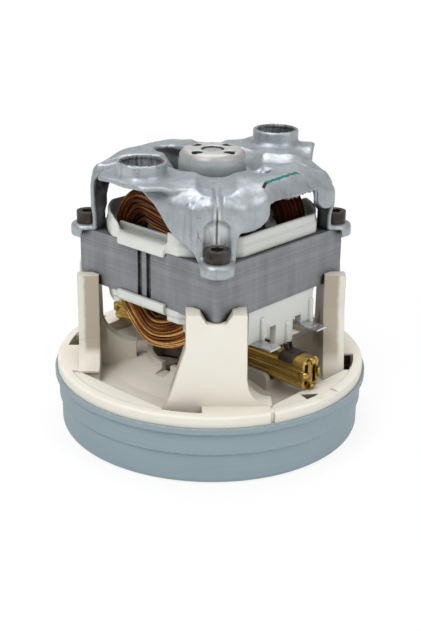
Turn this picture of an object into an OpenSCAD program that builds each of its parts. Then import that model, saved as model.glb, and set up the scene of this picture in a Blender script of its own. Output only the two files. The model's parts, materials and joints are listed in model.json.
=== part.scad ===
// Vacuum cleaner motor unit: a brushed motor on a flat fan drum.
// The origin is the centre of the drum's underside, +Z runs up the shaft, the field poles lie
// on the Y axis and the carbon brushes on the X axis. All lengths are in millimetres.

/* [Fan cover] */
// Outside diameter of the drum-shaped fan cover
cover_d = 135; // [130:0.5:140]
// Height of the cover's open lip above the base
cover_h = 25.4; // [25:0.1:27]
// Thickness of the cover's sheet
cover_t = 1; // [0.8:0.1:1.2]
// Radius of the cover's rounded lower edge
cover_edge_r = 2.2; // [1.8:0.1:3]
// Diameter of the air inlet in the cover's base
inlet_d = 38; // [34:0.5:40]
// Height of the lip turned in round the inlet
inlet_lip_h = 4; // [3:0.1:4.5]
// Height of the lip round the cover's open end
lip_h = 2.4; // [2:0.1:2.8]
// Distance that this lip stands out from the wall
lip_out = 1.5; // [1.2:0.1:1.7]
// Height of the seam where the wall steps in
seam_z = 13.6; // [10:0.1:16]
// Depth of that step
seam_step = 1; // [0.6:0.1:1.2]

/* [Motor housing] */
// Height of the rim above the cover's lip
rim_h = 4.6; // [4:0.1:5.5]
// Thickness of the rim's wall
rim_wall = 4; // [3.5:0.1:4.4]
// Radius of the rim's rounded upper edge
rim_edge_r = 1.2; // [0.8:0.1:1.8]
// Height of the floor's underside
floor_z = 22; // [21.9:0.05:22.3]
// Thickness of the floor
floor_t = 2.6; // [2.2:0.1:2.8]
// Distance from the axis to the straight inner edge of the rim's ledges
ledge_in = 54.5; // [52:0.1:56.5]
// Distance from the axis to the outer face of the corner posts
post_out = 56.2; // [55.6:0.1:57]
// Radial thickness of a post
post_t = 9; // [8:0.1:10]
// Width of a post
post_w = 23.6; // [22:0.1:25]
// Height of a post's ears above the stack's underside
ear_h = 4.4; // [3:0.1:5.5]
// Width of the notch between the ears at its bottom
notch_w = 7.6; // [6.5:0.1:8.5]
// Extra spread of a post's sloping flank at its foot
flare = 9.4; // [7:0.1:11]
// Height at which the sloping flank starts
flare_z = 54; // [50:0.5:56]
// Radius between a post's upright flank and the rim
flank_r = 10; // [9:0.1:11]
// Thickness of the gusset behind each post
gusset_t = 5; // [4:0.1:6]
// Distance from the axis to the gusset's inner end
gusset_in = 32; // [31:0.1:34]
// Outside diameter of the ring wall on the floor
floor_ring_d = 55; // [53:0.5:57]
// Height of the ring wall on the floor
floor_ring_h = 7; // [5:0.1:9]

/* [Stator] */
// Side of the square lamination stack
stack_side = 79.4; // [79:0.1:79.8]
// Height of the stack
stack_h = 22.8; // [22.2:0.1:23.4]
// Height of the stack's underside above the base
stack_z = 64; // [63.6:0.1:64.6]
// Radius of the stack's corners
stack_corner_r = 2.4; // [2:0.1:3]
// Diameter of the bore that the armature turns in
bore_d = 45.2; // [45:0.1:46]
// Thickness of the yoke
yoke_t = 7.4; // [6.8:0.1:7.6]
// Width of a field pole's neck
pole_w = 25; // [23:0.1:25.6]
// Thickness of a pole shoe
shoe_t = 4.4; // [3.6:0.1:4.6]
// Angle that a pole shoe covers
shoe_angle = 112; // [100:1:118]
// Width of the keyway in the stack's pole sides
keyway_w = 7.6; // [6:0.1:9]
// Depth of that keyway
keyway_depth = 1.6; // [1.2:0.1:2]

/* [Insulators] */
// Thickness of the insulators' flanges and walls
insulator_t = 1.6; // [1.3:0.05:1.7]
// Height of the upper insulator's outer wall
upper_wall_h = 8.6; // [8:0.1:9.2]
// Height of the lower insulator's outer wall
lower_wall_h = 5.4; // [5:0.1:6]
// Height of the walls in front of the coils
former_h = 5.2; // [4.8:0.1:5.4]
// Height of the walls that keep the coils off the armature
guard_h = 10; // [8:0.1:11]
// Half the width of the insulators across the brush sides
insulator_x = 37.8; // [37.4:0.1:38.2]
// Length that the tongue on the pole side hangs over the stack
tongue_drop = 1.6; // [1.2:0.1:3]
// Width of that tongue
tongue_w = 26.6; // [24:0.1:28]
// Width of the terminal block
block_w = 41; // [40:0.1:42]
// Height of the terminal block below the stack
block_h = 14.2; // [13.8:0.1:14.6]
// Thickness of the terminal block
block_t = 3; // [2.8:0.1:3.4]

/* [Field coils] */
// Diameter of the drawn wire of the outer layer
wire_d = 0.8; // [0.7:0.05:0.84]
// Loops of wire in the outer layer
coil_loops = 12; // [10:1:12]
// Radial thickness of a coil's core
coil_t = 11; // [10.6:0.1:11.2]
// Depth of a coil's core along the pole
coil_depth = 6.4; // [6:0.1:6.6]
// Height that the coils rise above the stack
coil_rise_up = 19.1; // [18.6:0.1:19.6]
// Depth that the coils hang below the stack
coil_rise_low = 22.7; // [22:0.1:23]
// Fall of the upper coil ends across their width, per millimetre
coil_tilt = 0.15; // [0.1:0.01:0.18]
// Outward lean of the coil ends
coil_lean = 3.4; // [3:0.1:3.8]

/* [Top bracket] */
// Thickness of the bracket's sheet
sheet_t = 1.8; // [1.6:0.05:2]
// Height of the bracket's plate above the base
plate_z = 115.6; // [115.2:0.1:116.4]
// Outside radius of the bend between plate and leg
bend_r = 8; // [7.4:0.1:8.6]
// Radius of the drawn cup's corners in plan
cup_corner_r = 29.4; // [28.6:0.1:30]
// Depth of the troughs pressed along the diagonals
trough_depth = 2.4; // [2:0.1:2.8]
// Radius of those troughs
trough_r = 14; // [12:0.5:16]
// Depth of the crease pressed down the middle of a leg
crease_depth = 1.6; // [1.3:0.1:1.8]
// Radius of that crease
crease_r = 2.4; // [2.1:0.1:2.7]
// Height of a leg's shoulder above the stack
shoulder_h = 12.6; // [11.5:0.1:13.5]
// Half the width of a leg above its shoulder
leg_half = 20.4; // [19:0.1:20.8]
// Half the width of the plate across the brush sides
plate_x = 44; // [43:0.1:45]
// Depth of the skirts on the brush sides
skirt_h = 6.8; // [6.2:0.1:8]
// Distance from the axis to a collar's centre
collar_y = 40.3; // [40:0.1:40.6]
// Bore of a collar
collar_bore = 17.2; // [16.8:0.1:17.6]
// Wall of a collar
collar_wall = 1.25; // [1.1:0.05:1.4]
// Height of a collar above the plate
collar_h = 6.5; // [6:0.1:7]
// Distance from the axis to the straight edge of a collar's lobe
lobe_out = 52.6; // [51.8:0.1:53.4]
// Diameter of the flat floor of the well round the dome
well_d = 34; // [33.4:0.1:35]
// Depth of that well below the plate
well_depth = 8; // [7.6:0.1:8.2]
// Outside diameter of the bearing dome
dome_d = 28; // [27.6:0.1:28.4]
// Height of the dome above the plate
dome_h = 4.3; // [3.8:0.1:4.8]
// Diameter of the hole in the dome's top
dome_hole_d = 9; // [8.6:0.1:9.6]
// Diameter of the four small holes round it
dome_small_d = 4; // [3:0.1:4.2]
// Radius of the circle that those holes lie on
dome_small_pcr = 9.2; // [8.8:0.1:9.4]
// Width of the vent on the far side of the dome
vent_w = 12; // [10:0.1:13]
// Distance from the axis to the outer end of that vent
vent_out = 31.5; // [30:0.1:33]
// Length of the lanced slot on the near side of the dome
lance_len = 8.4; // [7:0.1:9]
// Width of that slot
lance_w = 2.2; // [1.8:0.1:2.6]
// Distance from the axis to that slot
lance_x = 27.2; // [26.6:0.1:28]
// Depth of the channel pressed from the well to that slot
lance_depth = 2.6; // [2.2:0.1:3]

/* [Bracket screws] */
// Distance from the axis to a screw
screw_out = 51.6; // [51.4:0.05:51.8]
// Diameter of a screw's shank
screw_d = 4; // [3.8:0.1:4.2]
// Diameter of a screw's head
screw_head_d = 9.6; // [9:0.1:10]
// Height of a screw's head
screw_head_h = 4.8; // [4.2:0.1:5.4]
// Length of a screw under its head
screw_len = 36; // [33:0.5:38]

/* [Rotor] */
// Diameter of the shaft in its bearings
shaft_d = 8; // [7.8:0.05:8.1]
// Diameter of the shaft between its shoulders
shaft_mid_d = 11; // [10.5:0.1:11.2]
// Air gap between armature and pole shoes
air_gap = 0.5; // [0.4:0.05:0.7]
// Slots in the armature
armature_slots = 12; // [10:2:14]
// Diameter of the commutator
commutator_d = 25; // [24.6:0.1:25.4]
// Length of the commutator bars
commutator_len = 13.4; // [13:0.1:13.6]
// Bars of the commutator
commutator_bars_n = 24; // [20:2:26]
// Outside diameter of the winding heads
winding_d = 40; // [38:0.5:41]
// Outside diameter of a bearing
bearing_d = 22; // [21.8:0.05:22.1]
// Width of a bearing
bearing_w = 7; // [6.8:0.1:7.1]
// Diameter of a bearing's balls
ball_d = 3.9; // [3.7:0.05:4]
// Balls in a bearing
ball_n = 7; // [6:1:7]
// Diameter of the impeller
impeller_d = 108; // [104:0.5:110]
// Thickness of the impeller's discs and blades
impeller_t = 1; // [0.8:0.1:1.2]
// Height of the blades at the rim
blade_h = 4.6; // [4.2:0.1:4.8]
// Blades of the impeller
blade_n = 9; // [7:1:10]
// Vanes of the diffuser
vane_n = 12; // [8:1:14]

/* [Brushes] */
// Height of the brushes' centre line above the base
brush_z = 36.3; // [36.2:0.1:36.6]
// Width of a carbon brush
brush_w = 7.6; // [7.2:0.1:7.8]
// Height of a carbon brush
brush_h = 10.8; // [10.4:0.1:11]
// Length of a carbon brush
brush_len = 24; // [22:0.5:25]
// Wall of a brush holder
holder_wall = 1.3; // [1.2:0.05:1.4]
// Distance from the axis to the outer end of a holder
holder_out = 55.4; // [55:0.1:56]
// Diameter of a brush spring
spring_d = 6; // [5.6:0.1:6.4]
// Diameter of the spring's wire
spring_wire = 0.7; // [0.6:0.05:0.8]
// Curls of a brush spring
spring_curls = 8; // [6:1:8]
// Diameter of a brush's copper lead
lead_d = 1.8; // [1.5:0.1:2]
// Width of a terminal tab
tab_w = 6.3; // [6:0.1:6.6]
// Thickness of a terminal tab
tab_t = 0.8; // [0.7:0.05:1]
// Distance from the axis to the outer end of a tab
tab_out = 49; // [48:0.1:50]
// Distance of a tab from the brush axis
tab_y = 15; // [14.6:0.1:15.4]

/* [Clearances] */
// Gap between moulded or pressed pieces that are fixed together
seat_gap = 0.1; // [0.05:0.01:0.15]
// Gap round a part that slides in its guide
slide_gap = 0.15; // [0.1:0.01:0.2]
// Gap between a brush and the commutator at rest
brush_gap = 0.2; // [0.1:0.02:0.3]
// Gap between running and fixed parts of the fan
running_gap = 1.2; // [1:0.1:1.5]
// Gap between balls and races
race_gap = 0.04; // [0.03:0.01:0.06]

/* [Hidden] */
$fn = 64;
over = 1;

// Fan drum and housing levels
cover_r = cover_d/2;
wall_r = cover_r - lip_out;
base_r = wall_r - seam_step;
inlet_r = inlet_d/2;
rim_r = cover_r - cover_t - seat_gap;
rim_in = rim_r - rim_wall;
rim_seat = cover_h - lip_h + cover_t + seat_gap;
rim_top = cover_h + rim_h;
floor_top = floor_z + floor_t;
post_in = post_out - post_t;
hub_wall = 2.4;
hub_lip = 1;
cone_w = 15;
cone_h = 4.6;
cradle_out = 39;
cradle_edge_r = 3;

// Stator levels
stack_top = stack_z + stack_h;
stack_mid = stack_z + stack_h/2;
half_side = stack_side/2;
opening_half = half_side - yoke_t;
bore_r = bore_d/2;
shoe_r = bore_r + shoe_t;
insulator_y = half_side;
tongue_x = -0.9;
wall_step = 0.5;
former_half = 20;

// Bracket levels
channel_r = screw_head_d/2 + 0.6;
cup_centre = plate_x - cup_corner_r;
leg_out = sqrt(2)*cup_centre + cup_corner_r;
collar_r = collar_bore/2 + collar_wall;
collar_top = plate_z + collar_h;
dome_top = plate_z + dome_h;
dome_r = dome_d/2;
well_r = well_d/2;
dome_edge_r = 5;
well_z = plate_z - well_depth;
foot_r = channel_r + sheet_t + seat_gap;
insulator_diag = screw_out - foot_r - 0.4;
foot_top = stack_top + sheet_t;
foot_drop = 3.4;
screw_top = foot_top + screw_head_h;

// Bearing levels: the lower one sits on the housing's hub lip, the upper one in the dome
bearing_r = bearing_d/2;
shaft_r = shaft_d/2;
lower_bearing_z = floor_z - 1.8;
upper_bearing_z = well_z + 1.2;
ring_t = 1.9;
ball_pcr = (bearing_r + shaft_r)/2;

// Rotor levels
armature_r = bore_r - air_gap;
shaft_mid_r = shaft_mid_d/2;
shaft_low_z = 8;
shoulder_low_z = lower_bearing_z + bearing_w;
shoulder_up_z = upper_bearing_z;
shaft_top = dome_top - 0.8;
commutator_r = commutator_d/2;
commutator_z = brush_z - commutator_len/2;
bar_t = 3.4;
winding_gap = 0.4;
slot_r = 2.9;
slot_pcr = armature_r - 2 - slot_r;

// Fan levels: back disc under the spacer, blades, then the front disc over the inlet lip
spacer_h = 4;
spacer_wall = 2.6;
back_disc_z = lower_bearing_z - spacer_h - impeller_t;
diffuser_z = back_disc_z + impeller_t + running_gap;
diffuser_t = 1.2;
vane_in = 8;
impeller_r = impeller_d/2;
eye_r = inlet_r + cover_t + 0.8;
front_rim_z = back_disc_z - blade_h;
front_eye_z = inlet_lip_h + 0.6;

// Brush levels along the X axis
holder_in = commutator_r + 2;
holder_w = brush_w + 2*slide_gap + 2*holder_wall;
holder_h = brush_h + 2*slide_gap + 2*holder_wall;
holder_cap_t = 1;
holder_edge_r = 3.6;
brush_face = commutator_r + brush_gap;
brush_back = brush_face + brush_len;
spring_end = holder_out - holder_cap_t;
holder_top = brush_z + holder_h/2;
holder_low = brush_z - holder_h/2;
block_low = stack_z - block_h;
tab_top = block_low;

// Local frames: X runs outwards along a corner's diagonal, Y runs along its post
module at_corners() {
    for (i = [0:3])
        rotate([0, 0, -45 + 90*i])
            children();
}

// Outline in width and height, carried outwards from a distance by a thickness
module facing(from, thick) {
    translate([from, 0, 0])
        rotate([90, 0, 90])
            linear_extrude(thick)
                children();
}

// Outline in distance and height, carried across a width that is centred
module across(width) {
    translate([0, width/2, 0])
        rotate([90, 0, 0])
            linear_extrude(width)
                children();
}

module ring_2d(outer, inner) {
    difference() {
        circle(outer);
        circle(inner);
    }
}

module tube(outer, inner, z, h) {
    translate([0, 0, z])
        linear_extrude(h)
            ring_2d(outer, inner);
}

// Quarter of a ring in the plane, open towards the quadrant of the two signs
module quarter_ring(r, t, sx, sy) {
    intersection() {
        ring_2d(r, r - t);
        translate([sx > 0 ? 0 : -r, sy > 0 ? 0 : -r])
            square(r);
    }
}

module quarter_disc(r) {
    intersection() {
        circle(r);
        square(r);
    }
}

module rounded_square(half, r) {
    union() {
        square([2*half - 2*r, 2*half], center = true);
        square([2*half, 2*half - 2*r], center = true);
        for (x = [-1, 1], y = [-1, 1])
            translate([x*(half - r), y*(half - r)])
                circle(r);
    }
}

// Rectangle with round corners
module rounded_box(w, h, r) {
    union() {
        square([w - 2*r, h], center = true);
        square([w, h - 2*r], center = true);
        for (x = [-1, 1], y = [-1, 1])
            translate([x*(w/2 - r), y*(h/2 - r)])
                circle(r);
    }
}

// Drawn drum with rounded lower edge, stepped seam, lip round the open end and turned-in inlet
module fan_cover() {
    color([0.58, 0.65, 0.68])
        rotate_extrude()
            union() {
                translate([inlet_r, 0])
                    square([base_r - cover_edge_r - inlet_r, cover_t]);
                translate([inlet_r, 0])
                    square([cover_t, inlet_lip_h]);
                translate([base_r - cover_edge_r, cover_edge_r])
                    quarter_ring(cover_edge_r, cover_t, 1, -1);
                translate([base_r - cover_t, cover_edge_r])
                    square([cover_t, seam_z - cover_edge_r]);
                translate([base_r - cover_t, seam_z])
                    square([cover_t + seam_step, cover_t]);
                translate([wall_r - cover_t, seam_z])
                    square([cover_t, cover_h - lip_h - seam_z]);
                translate([wall_r - cover_t, cover_h - lip_h])
                    square([cover_t + lip_out, cover_t]);
                translate([cover_r - cover_t, cover_h - lip_h])
                    square([cover_t, lip_h]);
            }
}

// Return-channel disc with curved vanes that lead the air back to the hub
module diffuser() {
    disc_r = impeller_r + 1.5;
    hub_r = bearing_r + hub_wall + seat_gap;
    vane_r = 34;
    color([0.80, 0.78, 0.72]) {
        tube(disc_r, hub_r, diffuser_z, diffuser_t);
        translate([0, 0, diffuser_z + diffuser_t])
            linear_extrude(floor_z - diffuser_z - diffuser_t)
                intersection() {
                    ring_2d(disc_r - 1, hub_r + vane_in);
                    for (i = [0:vane_n - 1])
                        rotate(360/vane_n*i)
                            translate([vane_r - 2, vane_r])
                                ring_2d(vane_r, vane_r - 1.4);
                }
    }
}

// Outline of a post seen from outside: ears and notch above, sloping flank left, round flank right
module post_outline() {
    ear_top = stack_z + ear_h;
    sill = stack_z + 0.7;
    notch_top_w = notch_w + 5;
    half = post_w/2;
    polygon([
        [-half - flare, floor_top - over], [-half, flare_z], [-half, ear_top],
        [-notch_top_w/2, ear_top], [-notch_w/2, sill], [notch_w/2, sill], [notch_top_w/2, ear_top],
        [half, ear_top], [half + 0.8, floor_top - over]
    ]);
    difference() {
        translate([half, rim_top - over])
            square([flank_r + 0.8, flank_r + over]);
        translate([half + 0.8 + flank_r, rim_top + flank_r])
            circle(flank_r);
    }
}

// Corner post with its gusset and the bridge that ties it to the rim
module corner_post() {
    hollow_r = post_in - gusset_in;
    hollow_z = floor_top + 10.4;
    bridge_from = -5.5;
    facing(post_in, post_t)
        post_outline();
    translate([screw_out, 0, foot_top - screw_len - 2])
        cylinder(d = screw_d + 4, h = stack_z - foot_top + screw_len + 2);
    across(gusset_t)
        difference() {
            translate([gusset_in, floor_top - over])
                square([hollow_r + over, hollow_z - floor_top + hollow_r + over]);
            translate([gusset_in, hollow_z + hollow_r])
                circle(hollow_r);
        }
    intersection() {
        translate([post_in, bridge_from, floor_z])
            cube([rim_r - post_in, post_w/2 + flank_r - bridge_from, rim_top - floor_z]);
        cylinder(r = rim_in + over, h = rim_top);
    }
}

// Brush cradle in distance and height, from the ring wall to a round outer edge
module cradle_section() {
    from = floor_ring_d/2 - 2.4;
    low = floor_z + over;
    top = holder_low + 3;
    translate([from, low])
        square([cradle_out - cradle_edge_r - from, top - low]);
    translate([from, low])
        square([cradle_out - from, top - cradle_edge_r - low]);
    translate([cradle_out - cradle_edge_r, top - cradle_edge_r])
        circle(cradle_edge_r);
}

// Rounded rim, floor, bearing hub, ring wall and brush cradles, with the four corner posts
module motor_housing() {
    hub_r = bearing_r + hub_wall;
    vent_in = hub_r + 1;
    vent_far = floor_ring_d/2 - 3.4;
    cradle_w = holder_w + 5;
    color([0.90, 0.89, 0.84])
        difference() {
            union() {
                rotate_extrude()
                    union() {
                        translate([rim_in, floor_z - 3])
                            square([wall_r - cover_t - seat_gap - rim_in, rim_seat - floor_z + 3 + over]);
                        translate([rim_in, rim_seat])
                            square([rim_wall, rim_top - rim_edge_r - rim_seat]);
                        translate([rim_in, rim_top - rim_edge_r - over])
                            square([rim_wall - rim_edge_r, rim_edge_r + over]);
                        translate([rim_r - rim_edge_r, rim_top - rim_edge_r])
                            circle(rim_edge_r);
                        translate([0, floor_z])
                            square([rim_in + over, floor_t]);
                        translate([0, lower_bearing_z - hub_lip])
                            square([hub_r, floor_top - lower_bearing_z + hub_lip + 3]);
                        translate([floor_ring_d/2 - 2.4, floor_z + over])
                            square([2.4, floor_t - over + floor_ring_h]);
                        polygon([
                            [floor_ring_d/2 - over, floor_z + over], [floor_ring_d/2 + cone_w, floor_z + over],
                            [floor_ring_d/2 + cone_w, floor_top], [floor_ring_d/2 - over, floor_top + cone_h]
                        ]);
                    }
                at_corners()
                    corner_post();
                for (i = [0:3])
                    rotate([0, 0, 90*i])
                        translate([0, 0, floor_z + over])
                            linear_extrude(rim_top - 0.6 - floor_z - over)
                                intersection() {
                                    circle(rim_in + over);
                                    translate([ledge_in, -cover_r/2])
                                        square([cover_r - ledge_in, cover_r]);
                                }
                for (s = [0, 180])
                    rotate([0, 0, s])
                        across(cradle_w)
                            cradle_section();
            }
            translate([0, 0, lower_bearing_z])
                cylinder(r = bearing_r, h = rim_top);
            translate([0, 0, floor_z - 10])
                cylinder(r = bearing_r - 1.2, h = rim_top);
            for (i = [0:7])
                rotate([0, 0, 45*i + 22.5])
                    translate([0, 0, floor_z - over])
                        linear_extrude(floor_t + 2*over)
                            intersection() {
                                ring_2d(vent_far, vent_in);
                                translate([0, -3.6])
                                    square([cover_r, 7.2]);
                            }
            for (s = [0, 180])
                rotate([0, 0, s])
                    translate([0, -holder_w/2 - seat_gap, holder_low])
                        cube([cover_r, holder_w + 2*seat_gap, rim_top]);
            for (i = [0:7])
                rotate([0, 0, 45*i])
                    translate([floor_ring_d/2 - 6, -2.5, floor_top + 3])
                        cube([10, 5, floor_ring_h]);
            translate([0, 0, stack_z])
                linear_extrude(stack_h)
                    rounded_square(half_side + seat_gap, stack_corner_r);
            at_corners() {
                translate([screw_out, 0, foot_top - screw_len - over])
                    cylinder(d = screw_d + 2*seat_gap, h = screw_len);
                translate([0, 0, floor_z - over])
                    linear_extrude(rim_top - floor_z + 2*over)
                        intersection() {
                            circle(rim_in - 0.6);
                            translate([post_out, -21])
                                square([cover_r - post_out, 15]);
                        }
            }
            for (s = [0, 180])
                rotate([0, 0, s]) {
                    rotate([0, 0, -25.4])
                        translate([rim_r - 0.8, -0.8, cover_h])
                            cube([over, 1.6, rim_h + over]);
                    translate([0, 0, floor_top])
                        linear_extrude(rim_h + over)
                            polygon([[post_out, -7], [rim_in - 0.4, -9], [rim_in - 1.4, -1]]);
                }
        }
}

// Yoke and two field poles with curved shoes, one lamination's outline
module lamination() {
    difference() {
        rounded_square(half_side, stack_corner_r);
        stack_opening(0);
        for (y = [-1, 1])
            translate([0, y*half_side])
                difference() {
                    square([keyway_w, 2*keyway_depth], center = true);
                    square([keyway_w/3, 1.1*keyway_depth*2], center = true);
                }
        at_corners()
            translate([screw_out, 0])
                circle(d = screw_d + 2*seat_gap);
    }
}

// Space for coils and armature, drawn in from the iron by a margin
module stack_opening(margin) {
    shoe_half = shoe_angle/2;
    reach = 2*half_side;
    circle(bore_r - margin);
    difference() {
        rounded_square(opening_half - margin, 6);
        square([pole_w + 2*margin, reach], center = true);
        for (s = [0, 180])
            rotate(s)
                intersection() {
                    circle(shoe_r + margin);
                    polygon([[0, 0], [reach*sin(shoe_half), reach*cos(shoe_half)],
                             [0, 2*reach], [-reach*sin(shoe_half), reach*cos(shoe_half)]]);
                }
    }
}

module stator_stack() {
    color([0.50, 0.51, 0.53])
        translate([0, 0, stack_z])
            linear_extrude(stack_h)
                lamination();
}

// Outline of an insulator, drawn in by a margin: straight sides, corners round before the bracket's feet
module insulator_outline(margin) {
    intersection() {
        square([2*insulator_x - 2*margin, 2*insulator_y - 2*margin], center = true);
        circle(insulator_diag - margin);
    }
}

// Lip of a tongue in distance and height: it lies on the flange, rolls over the stack's edge and hangs down
module tongue_section() {
    lip_in = 3;
    lip_h = 3.4;
    roll_r = 2.4;
    reach = insulator_y + insulator_t;
    translate([insulator_y - lip_in, 0])
        square([lip_in + insulator_t - roll_r, lip_h]);
    translate([insulator_y - lip_in, 0])
        square([lip_in + insulator_t, lip_h - roll_r]);
    translate([insulator_y + seat_gap, -tongue_drop])
        square([insulator_t - seat_gap, tongue_drop + lip_h - roll_r]);
    translate([reach - roll_r, lip_h - roll_r])
        quarter_disc(roll_r);
}

// Opening of the outer wall over a tongue, in width and height: the wall rounds down to it at one end
module tongue_gap(h) {
    difference() {
        translate([-tongue_w/2 - h, 0])
            square([tongue_w + h, h + over]);
        translate([-tongue_w/2 - h, 0])
            circle(h);
    }
}

// Insulator that faces up from a level of zero: flange, stepped outer wall open over the tongues, tongues,
// walls in front of the coils and guards round the armature
module insulator_body(wall_h) {
    linear_extrude(insulator_t)
        difference() {
            insulator_outline(0);
            stack_opening(0.4);
        }
    difference() {
        union() {
            linear_extrude(wall_h/2)
                difference() {
                    insulator_outline(0);
                    insulator_outline(insulator_t);
                }
            linear_extrude(wall_h)
                difference() {
                    insulator_outline(wall_step);
                    insulator_outline(insulator_t);
                }
        }
        for (s = [0, 180])
            rotate([0, 0, s])
                translate([tongue_x, -insulator_y - over, insulator_t])
                    mirror([0, 1, 0])
                        rotate([90, 0, 0])
                            linear_extrude(3*insulator_t)
                                tongue_gap(wall_h - insulator_t);
    }
    for (s = [0, 180])
        rotate([0, 0, s]) {
            translate([tongue_x, 0, 0])
                rotate([0, 0, -90])
                    across(tongue_w)
                        tongue_section();
            translate([-former_half, -opening_half - 0.4 - insulator_t, 0])
                cube([2*former_half, insulator_t, former_h]);
        }
    linear_extrude(guard_h)
        intersection() {
            ring_2d(bore_r + insulator_t + 0.4, bore_r + 0.4);
            square([1.56*bore_r, 4*bore_r], center = true);
        }
}

module upper_insulator() {
    color([0.85, 0.86, 0.85])
        translate([0, 0, stack_top])
            insulator_body(upper_wall_h);
}

// Lower insulator with the slotted and ribbed terminal block on the front brush side
module lower_insulator() {
    slots = [[-8.3, -3.2], [7.8, 13.1]];
    slot_top = stack_z - 10.2;
    middle_low = holder_top + 0.5;
    rib_d = 2.6;
    rib_h = 8.6;
    block_x = insulator_x - insulator_t;
    color([0.85, 0.86, 0.85]) {
        difference() {
            union() {
                translate([0, 0, stack_z])
                    mirror([0, 0, 1])
                        insulator_body(lower_wall_h);
                translate([block_x, -block_w/2, block_low])
                    cube([block_t, block_w, block_h]);
                translate([block_x, slots[0][0], middle_low])
                    cube([block_t, slots[1][1] - slots[0][0], block_low - middle_low + over]);
            }
            for (q = slots)
                translate([block_x - over, q[0], middle_low - over])
                    cube([block_t + 2*over, q[1] - q[0], slot_top - middle_low + over]);
        }
        for (q = [[-12, block_low], [4.2, middle_low], [block_w/2 - rib_d/2, block_low]])
            translate([block_x + block_t, q[0], q[1]]) {
                cylinder(d = rib_d, h = rib_h);
                translate([0, 0, rib_h])
                    sphere(d = rib_d);
            }
        translate([former_half, -opening_half - 0.4 - insulator_t, 0])
            rotate([90, 0, 0])
                linear_extrude(insulator_t)
                    coil_peg();
    }
}

// Rounded peg beside the lower end of the front coil, in width and height
module coil_peg() {
    peg_r = 1.8;
    peg_z = stack_z - 8.2;
    translate([0, peg_z])
        circle(peg_r);
    translate([-peg_r, peg_z])
        square([2*peg_r, stack_z - peg_z]);
}

// Middle line of a coil's bundle: straight through the stack, then a half ellipse over each end.
// u runs once round the loop; out is the shift away from the pole, deep the shift along it.
coil_mid_x = pole_w/2 + insulator_t + coil_t/2 + 0.5;
coil_mid_y = opening_half - wire_d - 1.3 - coil_depth/2;
coil_rings = 24;
straight_rings = 3;
arc_rings = coil_rings/2 - straight_rings;
coil_straight = stack_h - 2;

function coil_point(i, out, deep) =
    let (k = i%coil_rings,
         half = floor(k/(coil_rings/2)),
         j = k - half*coil_rings/2,
         turn = 1 - 2*half,
         a = j <= arc_rings ? 180*j/arc_rings : 180,
         s = j <= arc_rings ? 0 : (j - arc_rings)/straight_rings,
         rise = (turn > 0 ? coil_rise_up : coil_rise_low) + 1 - coil_t/2 - wire_d - 0.3,
         tilt = turn > 0 ? coil_tilt*pow(sin(a), 2) : 0,
         x = (coil_mid_x + out)*cos(a),
         z = coil_straight/2 + (rise + out)*sin(a) - s*coil_straight - tilt*x,
         y = coil_mid_y + deep + coil_lean*pow(sin(a), 6))
    [turn*x, -y, stack_mid + turn*z];

// Shift of the wire across the bundle's section: up the front face, then across the outer face
function wire_shift(s) =
    let (gap = wire_d/2 + 0.16,
         front = coil_t - 0.6,
         side = coil_depth,
         total = front + side + wire_d,
         run = s*total)
    run < front ? [-front/2 + run + 0.3, coil_depth/2 + gap]
    : run < front + wire_d
    ? let (q = (run - front)/wire_d) [front/2 + 0.3 + q*(gap + 0.1), coil_depth/2 + gap*(1 - q) + 0.1*(1 - q)]
    : [coil_t/2 + gap, coil_depth/2 - (run - front - wire_d)];

wire_steps = coil_rings*coil_loops;
wire_path = [for (i = [0:wire_steps - 1])
    let (w = wire_shift(i/(wire_steps - 1))) coil_point(i, w[0], w[1])];

function unit(v) = v/norm(v);

// Skin of a tube through points: one ring of sides square to the path at each, capped at both ends
module swept_tube(path, r, sides) {
    n = len(path);
    rings = [for (i = [0:n - 1])
        let (t = unit(path[min(i + 1, n - 1)] - path[max(i - 1, 0)]),
             e = unit(cross(t, abs(t[1]) > 0.9 ? [1, 0, 0] : [0, 1, 0])),
             f = cross(t, e))
        for (j = [0:sides - 1])
            path[i] + r*(e*cos(360*j/sides) + f*sin(360*j/sides))];
    walls = [for (i = [0:n - 2], j = [0:sides - 1])
        let (a = i*sides + j, b = i*sides + (j + 1)%sides)
        each [[a, b, b + sides], [a, b + sides, a + sides]]];
    caps = [for (j = [1:sides - 2])
        each [[0, j + 1, j], [(n - 1)*sides, (n - 1)*sides + j, (n - 1)*sides + j + 1]]];
    polyhedron(points = rings, faces = concat(walls, caps));
}

// Closed core of a coil: an eight-sided section carried round the same loop
module coil_core() {
    c = 1.2;
    section = [
        [coil_t/2 - c, coil_depth/2], [coil_t/2, coil_depth/2 - c],
        [coil_t/2, c - coil_depth/2], [coil_t/2 - c, -coil_depth/2],
        [c - coil_t/2, -coil_depth/2], [-coil_t/2, c - coil_depth/2],
        [-coil_t/2, coil_depth/2 - c], [c - coil_t/2, coil_depth/2]
    ];
    m = len(section);
    points = [for (i = [0:coil_rings - 1], s = section) coil_point(i, s[0], s[1])];
    faces = [for (i = [0:coil_rings - 1], j = [0:m - 1])
        let (a = i*m + j,
             b = i*m + (j + 1)%m,
             step = (i + 1)%coil_rings*m - i*m)
        each [[a, b, b + step], [a, b + step, a + step]]];
    polyhedron(points = points, faces = faces);
}

// Least distance between loops of the wire, less its diameter
wire_gap = min([for (i = [0:wire_steps - 1], k = [-2:2])
    let (j = i + coil_rings + k)
    j < wire_steps ? norm(wire_path[i] - wire_path[j]) - wire_d : coil_t]);
echo(least_gap_between_loops = wire_gap);

module coil_wire() {
    color([0.62, 0.36, 0.17])
        swept_tube(wire_path, wire_d/2, 6);
}

module coil_heart() {
    color([0.45, 0.22, 0.10])
        coil_core();
}

module field_coil_front() {
    coil_wire();
}

module field_core_front() {
    coil_heart();
}

module field_coil_rear() {
    rotate([0, 0, 180])
        coil_wire();
}

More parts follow.
